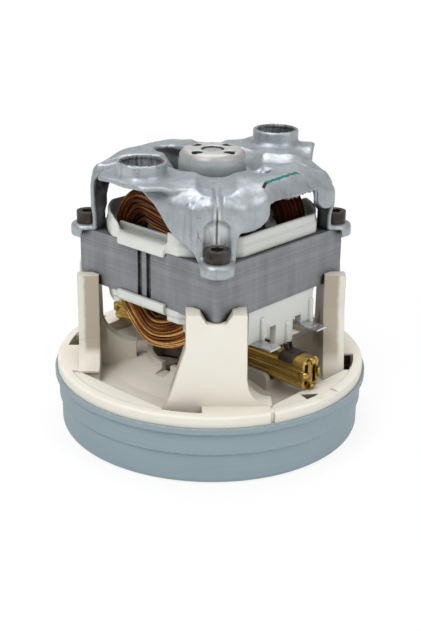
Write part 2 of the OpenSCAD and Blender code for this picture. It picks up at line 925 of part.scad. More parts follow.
module field_core_rear() {
    rotate([0, 0, 180])
        coil_heart();
}

// Drawn cup inside its skin by an inset: a rounded square with a rolled upper edge
module cup_form(inset) {
    edge_z = plate_z - bend_r;
    flat = plate_x - bend_r;
    translate([0, 0, stack_top - over])
        linear_extrude(edge_z - stack_top + over)
            rounded_square(plate_x - inset, cup_corner_r - inset);
    translate([0, 0, edge_z - over])
        linear_extrude(bend_r - inset + over)
            rounded_square(flat, cup_corner_r - bend_r);
    for (i = [0:3])
        rotate([0, 0, 90*i]) {
            translate([cup_centre, cup_centre, edge_z])
                rotate_extrude(angle = 90)
                    translate([cup_corner_r - bend_r, 0])
                        quarter_disc(bend_r - inset);
            across(2*cup_centre)
                translate([flat, edge_z])
                    quarter_disc(bend_r - inset);
        }
}

// What is pressed into the cup along a leg, grown by an inset: a trough over the plate, a crease that
// follows the bend down the leg, and the recess round the screw
module leg_press(inset) {
    crease_x = leg_out + crease_r - crease_depth;
    bend_x = leg_out - bend_r;
    translate([well_r - 2, 0, plate_z + trough_r - trough_depth])
        rotate([0, 90, 0])
            cylinder(r = trough_r + inset, h = cover_r);
    translate([crease_x, 0, stack_top])
        cylinder(r = crease_r + inset, h = plate_z - bend_r - stack_top);
    translate([bend_x, 0, plate_z - bend_r])
        rotate([90, 0, 0])
            rotate_extrude(angle = 90)
                translate([crease_x - bend_x, 0])
                    circle(crease_r + inset);
    screw_recess(channel_r + inset);
}

// Well round the dome in radius and height, grown by an inset: flat floor and a slope of 45 degrees
module well_section(inset) {
    low = well_z + sheet_t - inset;
    top = plate_z + over;
    floor_r = well_r + (sqrt(2) - 1)*inset;
    polygon([[0, low], [floor_r, low], [floor_r + top - low, top], [0, top]]);
}

// Channel pressed from the well out to the lanced slot, rising to the plate, grown by an inset
module lance_channel(inset) {
    lance_r = lance_len/2 + 1.8;
    run = 12;
    translate([lance_x - run/2, 0, plate_z + lance_r - lance_depth])
        rotate([0, atan2(run, lance_depth), 0])
            cylinder(r = lance_r + inset, h = norm([run, lance_depth]));
}

// Cup with everything that is pressed into it, inside its skin by an inset
module pressed_form(inset) {
    difference() {
        cup_form(inset);
        at_corners()
            leg_press(inset);
        rotate_extrude()
            well_section(inset);
        lance_channel(inset);
    }
}

// One half of a leg seen from outside, as half widths down its edge: a slanting web, a lobe with
// a step, a wide flat or a close cut beside the screw's recess
function leg_edge(kind) =
    let (top = plate_z + over,
         shoulder = stack_top + shoulder_h,
         low = channel_r + sheet_t)
    kind == "web" ? [[leg_half + 8, top], [leg_half + 8, plate_z - 5.4], [leg_half + 3.4, shoulder + 7.6],
                     [leg_half, shoulder + 2.6], [leg_half - 2.4, shoulder - 1], [leg_half - 5.2, shoulder - 4],
                     [leg_half - 9, shoulder - 6.6], [low + 1.2, shoulder - 9.4], [low, stack_top]]
    : kind == "lobe" ? [[leg_half, top], [leg_half, shoulder + 4.4], [leg_half - 0.8, shoulder + 2.6],
                        [leg_half - 3.2, shoulder + 0.8], [leg_half - 6, shoulder], [low + 1.6, shoulder + 0.2],
                        [low + 0.3, shoulder - 3.6], [low, stack_top]]
    : kind == "wide" ? [[leg_half, top], [leg_half, plate_z - 4], [leg_half - 2.6, plate_z - 8],
                        [leg_half - 6.6, stack_top + 4], [low + 1, stack_top + 3], [low, stack_top]]
    : [[low + 4, top], [low, plate_z - 3], [low, stack_top]];

// Outline of a leg from the edge kinds of its clockwise and anticlockwise halves
module leg_outline(left, right) {
    polygon(concat(
        [for (q = leg_edge(left)) [-q[0], q[1]]],
        [for (i = [1:len(leg_edge(right))]) leg_edge(right)[len(leg_edge(right)) - i]]
    ));
}

// Recess for a screw and its driver, round about the screw and closed by a round top
module screw_recess(r) {
    recess_top = stack_top + 14;
    translate([screw_out, 0, stack_top])
        cylinder(r = r, h = recess_top - stack_top);
    translate([screw_out, 0, recess_top])
        sphere(r);
}

// Cupped foot round a screw, turned down past the stack's corner
module foot() {
    translate([screw_out, 0, 0])
        difference() {
            rotate_extrude()
                union() {
                    translate([0, stack_top])
                        square([foot_r - sheet_t, sheet_t]);
                    translate([foot_r - sheet_t, stack_top])
                        quarter_ring(sheet_t, sheet_t, 1, 1);
                    translate([foot_r - sheet_t, stack_top - foot_drop])
                        square([sheet_t, foot_drop]);
                }
            translate([-2*foot_r, -foot_r - over, stack_top - foot_drop - over])
                cube([2*foot_r + 2.4, 2*foot_r + 2*over, foot_drop + over]);
        }
}

// Bearing dome in radius and height: round outer edge, tighter inside where the sleeve sits
module dome_section() {
    inner_edge_r = 1.4;
    difference() {
        translate([0, well_z])
            union() {
                square([dome_r, dome_top - dome_edge_r - well_z]);
                square([dome_r - dome_edge_r, dome_top - well_z]);
                translate([dome_r - dome_edge_r, dome_top - dome_edge_r - well_z])
                    circle(dome_edge_r);
            }
        translate([-over, well_z - over])
            square([dome_r - sheet_t + over, dome_top - sheet_t - inner_edge_r - well_z + over]);
        translate([-over, well_z - over])
            square([dome_r - sheet_t - inner_edge_r + over, dome_top - sheet_t - well_z + over]);
        translate([dome_r - sheet_t - inner_edge_r, dome_top - sheet_t - inner_edge_r])
            circle(inner_edge_r);
    }
}

// Flared collar in radius and height
module collar_section() {
    flare_r = 2.2;
    difference() {
        union() {
            translate([collar_bore/2, plate_z - sheet_t])
                square([collar_wall, collar_h + sheet_t]);
            translate([collar_bore/2, plate_z - sheet_t])
                square([collar_wall + flare_r, sheet_t + flare_r]);
        }
        translate([collar_r + flare_r, plate_z + flare_r])
            circle(flare_r);
    }
}

// Ears that carry the collars, in plan
module ear_outline() {
    for (s = [0, 180])
        rotate(s)
            polygon([
                [-24, plate_x - bend_r - over], [24, plate_x - bend_r - over],
                [13, lobe_out - 1], [11, lobe_out], [-11, lobe_out], [-13, lobe_out - 1]
            ]);
}

// What is left of the cup when its sides are cut out: four legs, a skirt on each brush side and the plate
module cup_keep() {
    edge = plate_x - bend_r;
    rotate([0, 0, -45])
        facing(0, cover_r)
            leg_outline("web", "lobe");
    rotate([0, 0, 45])
        facing(0, cover_r)
            leg_outline("lobe", "wide");
    rotate([0, 0, 135])
        facing(0, cover_r)
            leg_outline("web", "lobe");
    rotate([0, 0, 225])
        facing(0, cover_r)
            leg_outline("wide", "close");
    translate([-cover_r, -cup_centre - 2, plate_z - skirt_h])
        cube([cover_d, 2*cup_centre + 4, skirt_h + over]);
    translate([-edge, -edge, well_z - over])
        cube([2*edge, 2*edge, well_depth + 2*over]);
}

// Pressed sheet bracket: drawn cup with legs and feet, ears with collars, well with bearing dome
module top_bracket() {
    color([0.70, 0.74, 0.76])
        difference() {
            union() {
                difference() {
                    union() {
                        intersection() {
                            pressed_form(0);
                            cup_keep();
                        }
                        translate([0, 0, plate_z - sheet_t])
                            linear_extrude(sheet_t)
                                ear_outline();
                    }
                    pressed_form(sheet_t);
                    at_corners()
                        leg_press(0);
                    translate([0, 0, well_z - over])
                        cylinder(r = dome_r - sheet_t, h = well_depth);
                }
                rotate_extrude()
                    dome_section();
                for (y = [-1, 1])
                    translate([0, y*collar_y, 0])
                        rotate_extrude()
                            collar_section();
                at_corners()
                    foot();
            }
            rotate([0, 0, 180])
                translate([0, 0, well_z - over])
                    linear_extrude(well_depth + 2*over)
                        difference() {
                            union() {
                                translate([0, -vent_w/2])
                                    square([vent_out - vent_w/2, vent_w]);
                                translate([vent_out - vent_w/2, 0])
                                    circle(vent_w/2);
                            }
                            circle(dome_r + 0.4);
                        }
            translate([lance_x - lance_w/2, -lance_len/2, well_z])
                cube([lance_w, lance_len, well_depth + over]);
            translate([0, 0, plate_z])
                cylinder(d = dome_hole_d, h = dome_h + over);
            for (i = [0:3])
                rotate([0, 0, 90*i])
                    translate([dome_small_pcr, 0, dome_top - sheet_t - over])
                        cylinder(d = dome_small_d, h = sheet_t + 2*over);
            for (y = [-1, 1])
                translate([0, y*collar_y, plate_z - sheet_t - over])
                    cylinder(d = collar_bore, h = collar_h + sheet_t + 2*over);
            at_corners()
                translate([screw_out, 0, stack_top - over])
                    cylinder(d = screw_d + 2*seat_gap, h = sheet_t + 2*over);
        }
}

// Four cap screws with hexagon sockets
module bracket_screws() {
    socket_d = 5;
    socket_depth = 2.6;
    color([0.24, 0.21, 0.18])
        at_corners()
            translate([screw_out, 0, foot_top])
                difference() {
                    union() {
                        cylinder(d = screw_head_d, h = screw_head_h);
                        translate([0, 0, -screw_len])
                            cylinder(d = screw_d, h = screw_len + over);
                    }
                    translate([0, 0, screw_head_h - socket_depth])
                        cylinder(d = socket_d/cos(30), h = socket_depth + over, $fn = 6);
                }
}

// Elastic sleeve between the upper bearing and the dome
module upper_bearing_sleeve() {
    color([0.12, 0.12, 0.12])
        tube(dome_r - sheet_t - 0.02, bearing_r + 0.02, upper_bearing_z, bearing_w);
}

// Ball bearing pieces, drawn from a bearing's lower face at zero
module race_groove() {
    translate([ball_pcr, bearing_w/2])
        circle(ball_d/2 + race_gap);
}

module bearing_outer() {
    color([0.72, 0.73, 0.74])
        rotate_extrude()
            difference() {
                translate([bearing_r - ring_t, 0])
                    square([ring_t, bearing_w]);
                race_groove();
            }
}

module bearing_inner() {
    color([0.72, 0.73, 0.74])
        rotate_extrude()
            difference() {
                translate([shaft_r, 0])
                    square([ring_t, bearing_w]);
                race_groove();
            }
}

module bearing_balls() {
    color([0.80, 0.81, 0.82])
        for (i = [0:ball_n - 1])
            rotate([0, 0, 360/ball_n*i])
                translate([ball_pcr, 0, bearing_w/2])
                    sphere(d = ball_d);
}

module bearing_cage() {
    color([0.55, 0.50, 0.35])
        difference() {
            tube(ball_pcr + 0.6, ball_pcr - 0.6, 1, bearing_w - 2);
            for (i = [0:ball_n - 1])
                rotate([0, 0, 360/ball_n*i])
                    translate([ball_pcr - 2, 0, bearing_w/2])
                        rotate([0, 90, 0])
                            cylinder(d = ball_d + 2*race_gap, h = 4);
        }
}

module at_upper_bearing() {
    translate([0, 0, upper_bearing_z])
        children();
}

module at_lower_bearing() {
    translate([0, 0, lower_bearing_z])
        children();
}

module upper_bearing_outer() {
    at_upper_bearing()
        bearing_outer();
}

module upper_bearing_inner() {
    at_upper_bearing()
        bearing_inner();
}

module upper_bearing_balls() {
    at_upper_bearing()
        bearing_balls();
}

module upper_bearing_cage() {
    at_upper_bearing()
        bearing_cage();
}

module lower_bearing_outer() {
    at_lower_bearing()
        bearing_outer();
}

module lower_bearing_inner() {
    at_lower_bearing()
        bearing_inner();
}

module lower_bearing_balls() {
    at_lower_bearing()
        bearing_balls();
}

module lower_bearing_cage() {
    at_lower_bearing()
        bearing_cage();
}

// Stepped shaft: bearing seats at both ends, shoulders between them
module shaft() {
    color([0.75, 0.76, 0.77]) {
        translate([0, 0, shaft_low_z])
            cylinder(r = shaft_r, h = shaft_top - shaft_low_z);
        translate([0, 0, shoulder_low_z])
            cylinder(r = shaft_mid_r, h = shoulder_up_z - shoulder_low_z);
    }
}

// Slotted armature core between the pole shoes
module armature_core() {
    mouth = 2.2;
    color([0.45, 0.46, 0.48])
        translate([0, 0, stack_z])
            linear_extrude(stack_h)
                difference() {
                    ring_2d(armature_r, shaft_mid_r);
                    for (i = [0:armature_slots - 1])
                        rotate(360/armature_slots*i) {
                            translate([slot_pcr, 0])
                                circle(slot_r);
                            translate([slot_pcr, -mouth/2])
                                square([armature_r, mouth]);
                        }
                }
}

// Rounded head of the armature winding in radius and height, standing on zero
module winding_head(h) {
    outer = winding_d/2;
    inner = shaft_mid_r + winding_gap;
    round_r = 4;
    union() {
        translate([inner, 0])
            square([outer - inner, h - round_r]);
        translate([inner, 0])
            square([outer - inner - round_r, h]);
        translate([outer - round_r, h - round_r])
            circle(round_r);
    }
}

// Winding: both heads, joined through the core's slots
module armature_winding() {
    low_h = stack_z - commutator_z - commutator_len - 3.4;
    up_h = well_z - stack_top - 5;
    color([0.38, 0.10, 0.07]) {
        translate([0, 0, stack_top])
            rotate_extrude()
                winding_head(up_h);
        translate([0, 0, stack_z])
            mirror([0, 0, 1])
                rotate_extrude()
                    winding_head(low_h);
        translate([0, 0, stack_z - over])
            linear_extrude(stack_h + 2*over)
                for (i = [0:armature_slots - 1])
                    rotate(360/armature_slots*i)
                        translate([slot_pcr, 0])
                            circle(slot_r - winding_gap);
    }
}

// Copper bars with risers at their upper ends, parted by slits
module commutator_bars() {
    slit = 0.5;
    riser = 1.6;
    color([0.72, 0.45, 0.25])
        difference() {
            union() {
                tube(commutator_r, commutator_r - bar_t, commutator_z, commutator_len);
                tube(commutator_r + riser, commutator_r - bar_t, commutator_z + commutator_len, 2);
            }
            for (i = [0:commutator_bars_n - 1])
                rotate([0, 0, 360/commutator_bars_n*i])
                    translate([0, -slit/2, commutator_z - over])
                        cube([commutator_d, slit, commutator_len + 2 + 2*over]);
        }
}

module commutator_hub() {
    color([0.20, 0.14, 0.10])
        tube(commutator_r - bar_t, shaft_mid_r, commutator_z, commutator_len + 2);
}

// Impeller pieces: back disc, curved blades and dished front disc
module fan_spacer() {
    color([0.72, 0.73, 0.74])
        tube(shaft_r + spacer_wall, shaft_r, back_disc_z + impeller_t, spacer_h);
}

module impeller_back_disc() {
    color([0.77, 0.78, 0.79])
        tube(impeller_r, shaft_r, back_disc_z, impeller_t);
}

// Space between the discs, bounded below by the dished front disc
module between_discs() {
    rotate_extrude()
        polygon([
            [eye_r, front_eye_z + impeller_t], [impeller_r, front_rim_z + impeller_t],
            [impeller_r, back_disc_z], [eye_r, back_disc_z]
        ]);
}

module impeller_blades() {
    curve_r = 44;
    color([0.77, 0.78, 0.79])
        intersection() {
            between_discs();
            translate([0, 0, front_eye_z])
                linear_extrude(back_disc_z - front_eye_z)
                    for (i = [0:blade_n - 1])
                        rotate(360/blade_n*i)
                            translate([eye_r + 2, -curve_r])
                                intersection() {
                                    ring_2d(curve_r, curve_r - impeller_t);
                                    square(curve_r);
                                }
        }
}

module impeller_front_disc() {
    color([0.77, 0.78, 0.79])
        rotate_extrude()
            polygon([
                [eye_r, front_eye_z], [impeller_r, front_rim_z],
                [impeller_r, front_rim_z + impeller_t], [eye_r, front_eye_z + impeller_t]
            ]);
}

module fan_nut() {
    nut_h = 5;
    nut_w = 13;
    color([0.72, 0.73, 0.74])
        translate([0, 0, back_disc_z - nut_h])
            difference() {
                cylinder(d = nut_w/cos(30), h = nut_h, $fn = 6);
                translate([0, 0, -over])
                    cylinder(r = shaft_r, h = nut_h + 2*over);
            }
}

// Outline of a brush holder across its length, grown by a margin
module holder_outline(margin) {
    rounded_box(holder_w + 2*margin, holder_h + 2*margin, holder_edge_r + margin);
}

// Folded brass holder round a brush, along +X: oval section, fluted flanks, end closed by an upright strap
module holder() {
    inner_w = holder_w - 2*holder_wall;
    inner_h = holder_h - 2*holder_wall;
    flute_r = 1.1;
    flute_depth = 0.45;
    flute_step = 2.6;
    strap_w = 3;
    color([0.62, 0.47, 0.18])
        translate([0, 0, brush_z])
            difference() {
                facing(holder_in, holder_out - holder_in)
                    difference() {
                        holder_outline(0);
                        for (s = [-1, 1], k = [-1, 0, 1])
                            translate([s*(holder_w/2 + flute_r - flute_depth), k*flute_step])
                                circle(flute_r);
                    }
                translate([holder_in - over, -inner_w/2, -inner_h/2])
                    cube([holder_out - holder_in - holder_cap_t + over, inner_w, inner_h]);
                for (s = [0, 180])
                    rotate([s, 0, 0])
                        translate([holder_out - 2*holder_cap_t, strap_w/2, -inner_h/2 + 1])
                            cube([3*holder_cap_t, inner_w/2 - strap_w/2 - 0.3, inner_h - 2]);
            }
}

// Spring clip saddled over a holder's top, with two prongs bent up at its inner end
module clip() {
    clip_t = 0.6;
    clip_gap = 0.05;
    clip_from = 42.8;
    clip_len = 7;
    clip_side = 2.8;
    prong_h = 2.6;
    color([0.18, 0.18, 0.18])
        translate([0, 0, brush_z]) {
            facing(clip_from, clip_len)
                intersection() {
                    difference() {
                        holder_outline(clip_gap + clip_t);
                        holder_outline(clip_gap);
                    }
                    translate([-holder_w, holder_h/2 - clip_side])
                        square([2*holder_w, holder_h]);
                }
            for (y = [-1, 1])
                translate([clip_from, y*1.2 - clip_t/2, holder_h/2 + clip_gap])
                    rotate([0, -20, 0])
                        cube([2.4, clip_t, prong_h]);
        }
}

// Carbon brush with its face hollowed to the commutator
module brush() {
    color([0.16, 0.16, 0.17])
        difference() {
            translate([commutator_r - 2, -brush_w/2, brush_z - brush_h/2])
                cube([brush_back - commutator_r + 2, brush_w, brush_h]);
            translate([0, 0, brush_z - brush_h])
                cylinder(r = brush_face, h = 2*brush_h);
        }
}

// Spring between brush and holder end, with straight ends square to what they meet
spring_rings = 8;
spring_steps = spring_rings*spring_curls;
spring_room = spring_end - brush_back - spring_wire - 2*slide_gap;
spring_path = [for (i = [0:spring_steps])
    let (r = (spring_d - spring_wire)/2, a = 360*i/spring_rings)
    [brush_back + slide_gap + spring_wire/2 + spring_room*i/spring_steps, r*cos(a), brush_z + r*sin(a)]];
spring_gap = min([for (i = [0:spring_steps - spring_rings - 1], k = [-1:1])
    norm(spring_path[i] - spring_path[i + spring_rings + k]) - spring_wire]);
echo(least_gap_between_curls = spring_gap);

module spring() {
    color([0.70, 0.71, 0.72])
        swept_tube(spring_path, spring_wire/2, 6);
}

module lead() {
    color([0.70, 0.36, 0.22])
        translate([brush_back, 0, brush_z])
            rotate([0, 90, 0])
                cylinder(d = lead_d, h = spring_end - brush_back);
}

module on_left() {
    rotate([0, 0, 180])
        children();
}

module brush_holder_right() {
    holder();
}

module brush_holder_left() {
    on_left()
        holder();
}

module brush_clip_right() {
    clip();
}

module brush_clip_left() {
    on_left()
        clip();
}

module brush_right() {
    brush();
}

module brush_left() {
    on_left()
        brush();
}

module brush_spring_right() {
    spring();
}

module brush_spring_left() {
    on_left()
        spring();
}

module brush_lead_right() {
    lead();
}

module brush_lead_left() {
    on_left()
        lead();
}

// Tinned tab under the terminal block, with its catch hole
module terminal(y) {
    color([0.80, 0.82, 0.83])
        translate([insulator_x - insulator_t, y - tab_w/2, tab_top - tab_t])
            difference() {
                cube([tab_out - insulator_x + insulator_t, tab_w, tab_t]);
                translate([tab_out - insulator_x + insulator_t - 3.2, tab_w/2, -over])
                    cylinder(d = 1.7, h = tab_t + 2*over);
            }
}

module terminal_front() {
    terminal(-tab_y);
}

module terminal_rear() {
    terminal(tab_y);
}

fan_cover();
diffuser();
motor_housing();
stator_stack();
upper_insulator();
lower_insulator();
field_coil_front();
field_core_front();
field_coil_rear();
field_core_rear();
top_bracket();
bracket_screws();
upper_bearing_sleeve();
upper_bearing_outer();
lower_bearing_outer();
brush_holder_right();
brush_holder_left();
brush_clip_right();
brush_clip_left();
terminal_front();
terminal_rear();
shaft();
armature_core();
armature_winding();
commutator_bars();
commutator_hub();
upper_bearing_inner();
lower_bearing_inner();
fan_spacer();
impeller_back_disc();
impeller_blades();
impeller_front_disc();
fan_nut();
upper_bearing_balls();
upper_bearing_cage();
lower_bearing_balls();
lower_bearing_cage();
brush_right();
brush_left();
brush_spring_right();
brush_spring_left();
brush_lead_right();
brush_lead_left();
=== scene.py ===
"""Looks of a vacuum cleaner motor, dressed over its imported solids.

The frame's origin is the centre of the drum's underside, +Z runs up the shaft, the field poles
lie on the Y axis and the carbon brushes on the X axis. Shapes and the limits of masks are given in
millimetres; lamps, the floor and the settings of shader nodes are in metres.
"""
import json
import bpy
import numpy as np
from mathutils import Matrix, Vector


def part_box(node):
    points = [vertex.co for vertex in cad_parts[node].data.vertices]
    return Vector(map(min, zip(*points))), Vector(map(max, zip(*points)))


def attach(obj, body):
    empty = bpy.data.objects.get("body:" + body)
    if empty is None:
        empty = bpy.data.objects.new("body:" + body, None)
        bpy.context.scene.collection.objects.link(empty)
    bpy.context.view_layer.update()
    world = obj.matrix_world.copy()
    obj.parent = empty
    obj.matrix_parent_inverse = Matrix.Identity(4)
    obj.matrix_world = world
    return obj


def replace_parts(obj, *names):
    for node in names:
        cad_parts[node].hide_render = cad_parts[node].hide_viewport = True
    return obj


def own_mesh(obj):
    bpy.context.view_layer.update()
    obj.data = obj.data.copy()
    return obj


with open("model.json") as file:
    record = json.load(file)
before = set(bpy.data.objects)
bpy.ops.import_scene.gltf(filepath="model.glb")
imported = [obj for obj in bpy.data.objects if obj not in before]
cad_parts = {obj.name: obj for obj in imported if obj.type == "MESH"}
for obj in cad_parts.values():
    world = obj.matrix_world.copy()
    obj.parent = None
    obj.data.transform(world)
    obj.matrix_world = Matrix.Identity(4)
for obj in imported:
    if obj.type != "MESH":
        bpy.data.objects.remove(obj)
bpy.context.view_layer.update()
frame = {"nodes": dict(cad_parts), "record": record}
cad = frame["nodes"]
scene = bpy.context.scene
MM = 0.001
TAU = 2*np.pi


# Placing

def new_object(name, data):
    """Object with its data, in the scene."""
    made = bpy.data.objects.new(name, data)
    scene.collection.objects.link(made)
    return made


def stand(thing, right, up, back, spot):
    """Puts an object at a spot in metres, with its own X, Y and Z along three directions."""
    matrix = np.eye(4)
    matrix[:3] = np.stack([right, up, back, spot], 1)
    thing.matrix_world = Matrix(matrix.tolist())


# Camera: the photograph's own view, found by fitting the drum, stack and bracket
IMAGE_WIDTH = 421
FOCAL_PIXELS = 1140.94
SENSOR_MM = 36.0
CAMERA_AZIMUTH = np.radians(42.523)
CAMERA_ELEVATION = np.radians(21.799)
CAMERA_DISTANCE = 494.97
CAMERA_ROLL = np.radians(0.749)
CAMERA_TARGET_Z = 45.94


def place_camera():
    """Camera on a sphere round a point of the shaft axis, turned by a small roll about its view."""
    sin_a, cos_a = np.sin(CAMERA_AZIMUTH), np.cos(CAMERA_AZIMUTH)
    sin_e, cos_e = np.sin(CAMERA_ELEVATION), np.cos(CAMERA_ELEVATION)
    back = np.array([sin_a*cos_e, -cos_a*cos_e, sin_e])
    right = np.array([cos_a, sin_a, 0.0])
    up = np.cross(back, right)
    turn_c, turn_s = np.cos(CAMERA_ROLL), np.sin(CAMERA_ROLL)
    right, up = right*turn_c + up*turn_s, up*turn_c - right*turn_s
    spot = back*CAMERA_DISTANCE + np.array([0, 0, CAMERA_TARGET_Z])
    data = bpy.data.cameras.new("photo_camera")
    data.sensor_fit = "HORIZONTAL"
    data.sensor_width = SENSOR_MM
    data.lens = FOCAL_PIXELS/IMAGE_WIDTH*SENSOR_MM
    data.clip_start = 0.01
    scene.camera = new_object("photo_camera", data)
    stand(scene.camera, right, up, back, spot*MM)


# Node helpers

def add(tree, kind, inputs=(), **settings):
    """New node; inputs maps socket names or numbers to values, or to the sockets that feed them."""
    made = tree.nodes.new(kind)
    for key, value in settings.items():
        setattr(made, key, value)
    for key, value in dict(inputs).items():
        if isinstance(value, bpy.types.NodeSocket):
            tree.links.new(value, made.inputs[key])
        else:
            made.inputs[key].default_value = value
    return made


def maths(tree, operation, a, b=0.0, clamp=False):
    """One Math node on two values or sockets."""
    return add(tree, "ShaderNodeMath", {0: a, 1: b}, operation=operation, use_clamp=clamp).outputs[0]


def minus(tree, a, b):
    """Difference of two values."""
    return maths(tree, "SUBTRACT", a, b)


def times(tree, value, *factors):
    """Product of a value and its factors."""
    for factor in factors:
        value = maths(tree, "MULTIPLY", value, factor)
    return value


def unsigned(tree, value):
    """Value without its sign."""
    return maths(tree, "ABSOLUTE", value)


def colour(rgb):
    """Colour with full alpha."""
    return (*rgb, 1.0)


def mix(tree, factor, a, b):
    """Colour that goes from a to b with the factor."""
    a, b = (colour(c) if isinstance(c, tuple) and len(c) == 3 else c for c in (a, b))
    return add(tree, "ShaderNodeMix", {0: factor, 6: a, 7: b}, data_type="RGBA").outputs[2]


def spread(tree, value, low, high, to_low=0.0, to_high=1.0):
    """Value carried from one range to another and held inside it."""
    inputs = {0: value, 1: low, 2: high, 3: to_low, 4: to_high}
    return add(tree, "ShaderNodeMapRange", inputs, clamp=True).outputs[0]


def object_point(tree, stretch=(1, 1, 1)):
    """Object coordinates, scaled along each axis."""
    point = add(tree, "ShaderNodeTexCoord").outputs["Object"]
    if tuple(stretch) == (1, 1, 1):
        return point
    return add(tree, "ShaderNodeMapping", {"Vector": point, "Scale": stretch}).outputs[0]


def noise(tree, scale, detail=3.0, stretch=(1, 1, 1), roughness=0.55):
    """Noise on Object coordinates; the scale is in cycles a metre and may be a socket."""
    inputs = {"Vector": object_point(tree, stretch), "Scale": scale, "Detail": detail, "Roughness": roughness}
    return add(tree, "ShaderNodeTexNoise", inputs).outputs["Fac"]


def axes(tree):
    """Object X, Y and Z."""
    return add(tree, "ShaderNodeSeparateXYZ", {0: object_point(tree)}).outputs


def facing(tree):
    """X, Y and Z of the normal."""
    normal = add(tree, "ShaderNodeNewGeometry").outputs["Normal"]
    return add(tree, "ShaderNodeSeparateXYZ", {0: normal}).outputs


def diagonal(tree, x, y):
    """Distance along the line midway between the X and Y axes, (x + y)/sqrt(2)."""
    return times(tree, maths(tree, "ADD", x, y), np.sqrt(0.5))


def level_reach(tree, x, y):
    """Length of a level step."""
    step = add(tree, "ShaderNodeCombineXYZ", {"X": x, "Y": y}).outputs[0]
    return add(tree, "ShaderNodeVectorMath", {0: step}, operation="LENGTH").outputs["Value"]


def step_up(tree, value, low, high):
    """Zero below one length in millimetres, one above another."""
    return spread(tree, value, low*MM, high*MM)


def step_down(tree, value, low, high):
    """One below one length in millimetres, zero above another."""
    return spread(tree, value, low*MM, high*MM, 1.0, 0.0)


def over(tree, value, low):
    """One above a length in millimetres."""
    return maths(tree, "GREATER_THAN", value, low*MM)


def between(tree, value, low, high):
    """One between two lengths in millimetres."""
    return times(tree, over(tree, value, low), maths(tree, "LESS_THAN", value, high*MM))


def new_group(name, inputs, outputs):
    """Empty node group with float inputs and outputs of the kinds given."""
    tree = bpy.data.node_groups.new(name, "ShaderNodeTree")
    for label, value in inputs.items():
        tree.interface.new_socket(label, in_out="INPUT", socket_type="NodeSocketFloat").default_value = value
    for label, kind in outputs.items():
        tree.interface.new_socket(label, in_out="OUTPUT", socket_type="NodeSocket" + kind)
    return tree, tree.nodes.new("NodeGroupInput").outputs, tree.nodes.new("NodeGroupOutput").inputs


def use(tree, group, **inputs):
    """Places a group in a material with its own values and returns its outputs."""
    made = tree.nodes.new("ShaderNodeGroup")
    made.node_tree = group
    for key, value in inputs.items():
        made.inputs[key].default_value = value
    return made.outputs


# Shared effects

def build_mottle():
    """Cloudy patches: noise pulled apart by a contrast about the middle."""
    tree, take, give = new_group("mottle", {"Scale": 60.0, "Contrast": 2.0}, {"Value": "Float"})
    raw = noise(tree, take["Scale"], 4.0)
    pulled = times(tree, minus(tree, raw, 0.5), take["Contrast"])
    tree.links.new(maths(tree, "ADD", pulled, 0.5, clamp=True), give["Value"])
    return tree


def build_edges():
    """Rounded normal near edges, and a mask that is one where the rounding turns the normal."""
    tree, take, give = new_group("edges", {"Radius": 0.0004, "Gain": 6.0, "Breakup": 500.0},
                                 {"Mask": "Float", "Normal": "Vector"})
    rounded = add(tree, "ShaderNodeBevel", {"Radius": take["Radius"]}, samples=4).outputs[0]
    flat = add(tree, "ShaderNodeNewGeometry").outputs["Normal"]
    along = add(tree, "ShaderNodeVectorMath", {0: rounded, 1: flat}, operation="DOT_PRODUCT").outputs["Value"]
    turned = maths(tree, "MULTIPLY", minus(tree, 1.0, along), take["Gain"], clamp=True)
    broken = spread(tree, noise(tree, take["Breakup"], 3.0), 0.35, 0.6)
    tree.links.new(times(tree, turned, broken), give["Mask"])
    tree.links.new(rounded, give["Normal"])
    return tree


def build_crevice():
    """Mask that rises in corners and hollows, from the share of sky that a point can't see."""
    tree, take, give = new_group("crevice", {"Distance": 0.008, "Power": 1.5}, {"Mask": "Float"})
    seen = add(tree, "ShaderNodeAmbientOcclusion", {"Distance": take["Distance"]}, samples=6).outputs["AO"]
    hidden = maths(tree, "SUBTRACT", 1.0, seen, clamp=True)
    tree.links.new(maths(tree, "POWER", hidden, take["Power"]), give["Mask"])
    return tree


def build_grain():
    """Fine moulded or sprayed grain: small noise as a height."""
    tree, take, give = new_group("grain", {"Scale": 1800.0}, {"Height": "Float"})
    tree.links.new(noise(tree, take["Scale"], 2.0), give["Height"])
    return tree


def build_laminations():
    """Stacked sheets: Object Z over the pitch; its fraction gives the joint, its floor each sheet's tone."""
    tree, take, give = new_group("laminations", {"Pitch": 0.0005, "Line": 0.16},
                                 {"Joint": "Float", "Tone": "Float"})
    count = maths(tree, "DIVIDE", axes(tree)["Z"], take["Pitch"])
    across = unsigned(tree, minus(tree, maths(tree, "FRACT", count), 0.5))
    joint = maths(tree, "LESS_THAN", minus(tree, 0.5, across), take["Line"])
    sheet = maths(tree, "FLOOR", count)
    tone = add(tree, "ShaderNodeTexWhiteNoise", {"W": sheet}, noise_dimensions="1D").outputs["Value"]
    tree.links.new(joint, give["Joint"])
    tree.links.new(tone, give["Tone"])
    return tree


def build_scratches():
    """Thin scratches: the narrow band where stretched noise passes its middle."""
    tree, take, give = new_group("scratches", {"Scale": 40.0, "Width": 0.012}, {"Mask": "Float"})
    raw = noise(tree, take["Scale"], 1.0, (6.0, 1.0, 1.6))
    away = unsigned(tree, minus(tree, raw, 0.5))
    line = maths(tree, "LESS_THAN", away, take["Width"])
    patch = spread(tree, noise(tree, 90.0, 2.0), 0.52, 0.62)
    tree.links.new(times(tree, line, patch), give["Mask"])
    return tree


MOTTLE = build_mottle()
EDGES = build_edges()
CREVICE = build_crevice()
GRAIN = build_grain()
LAMINATIONS = build_laminations()
SCRATCHES = build_scratches()


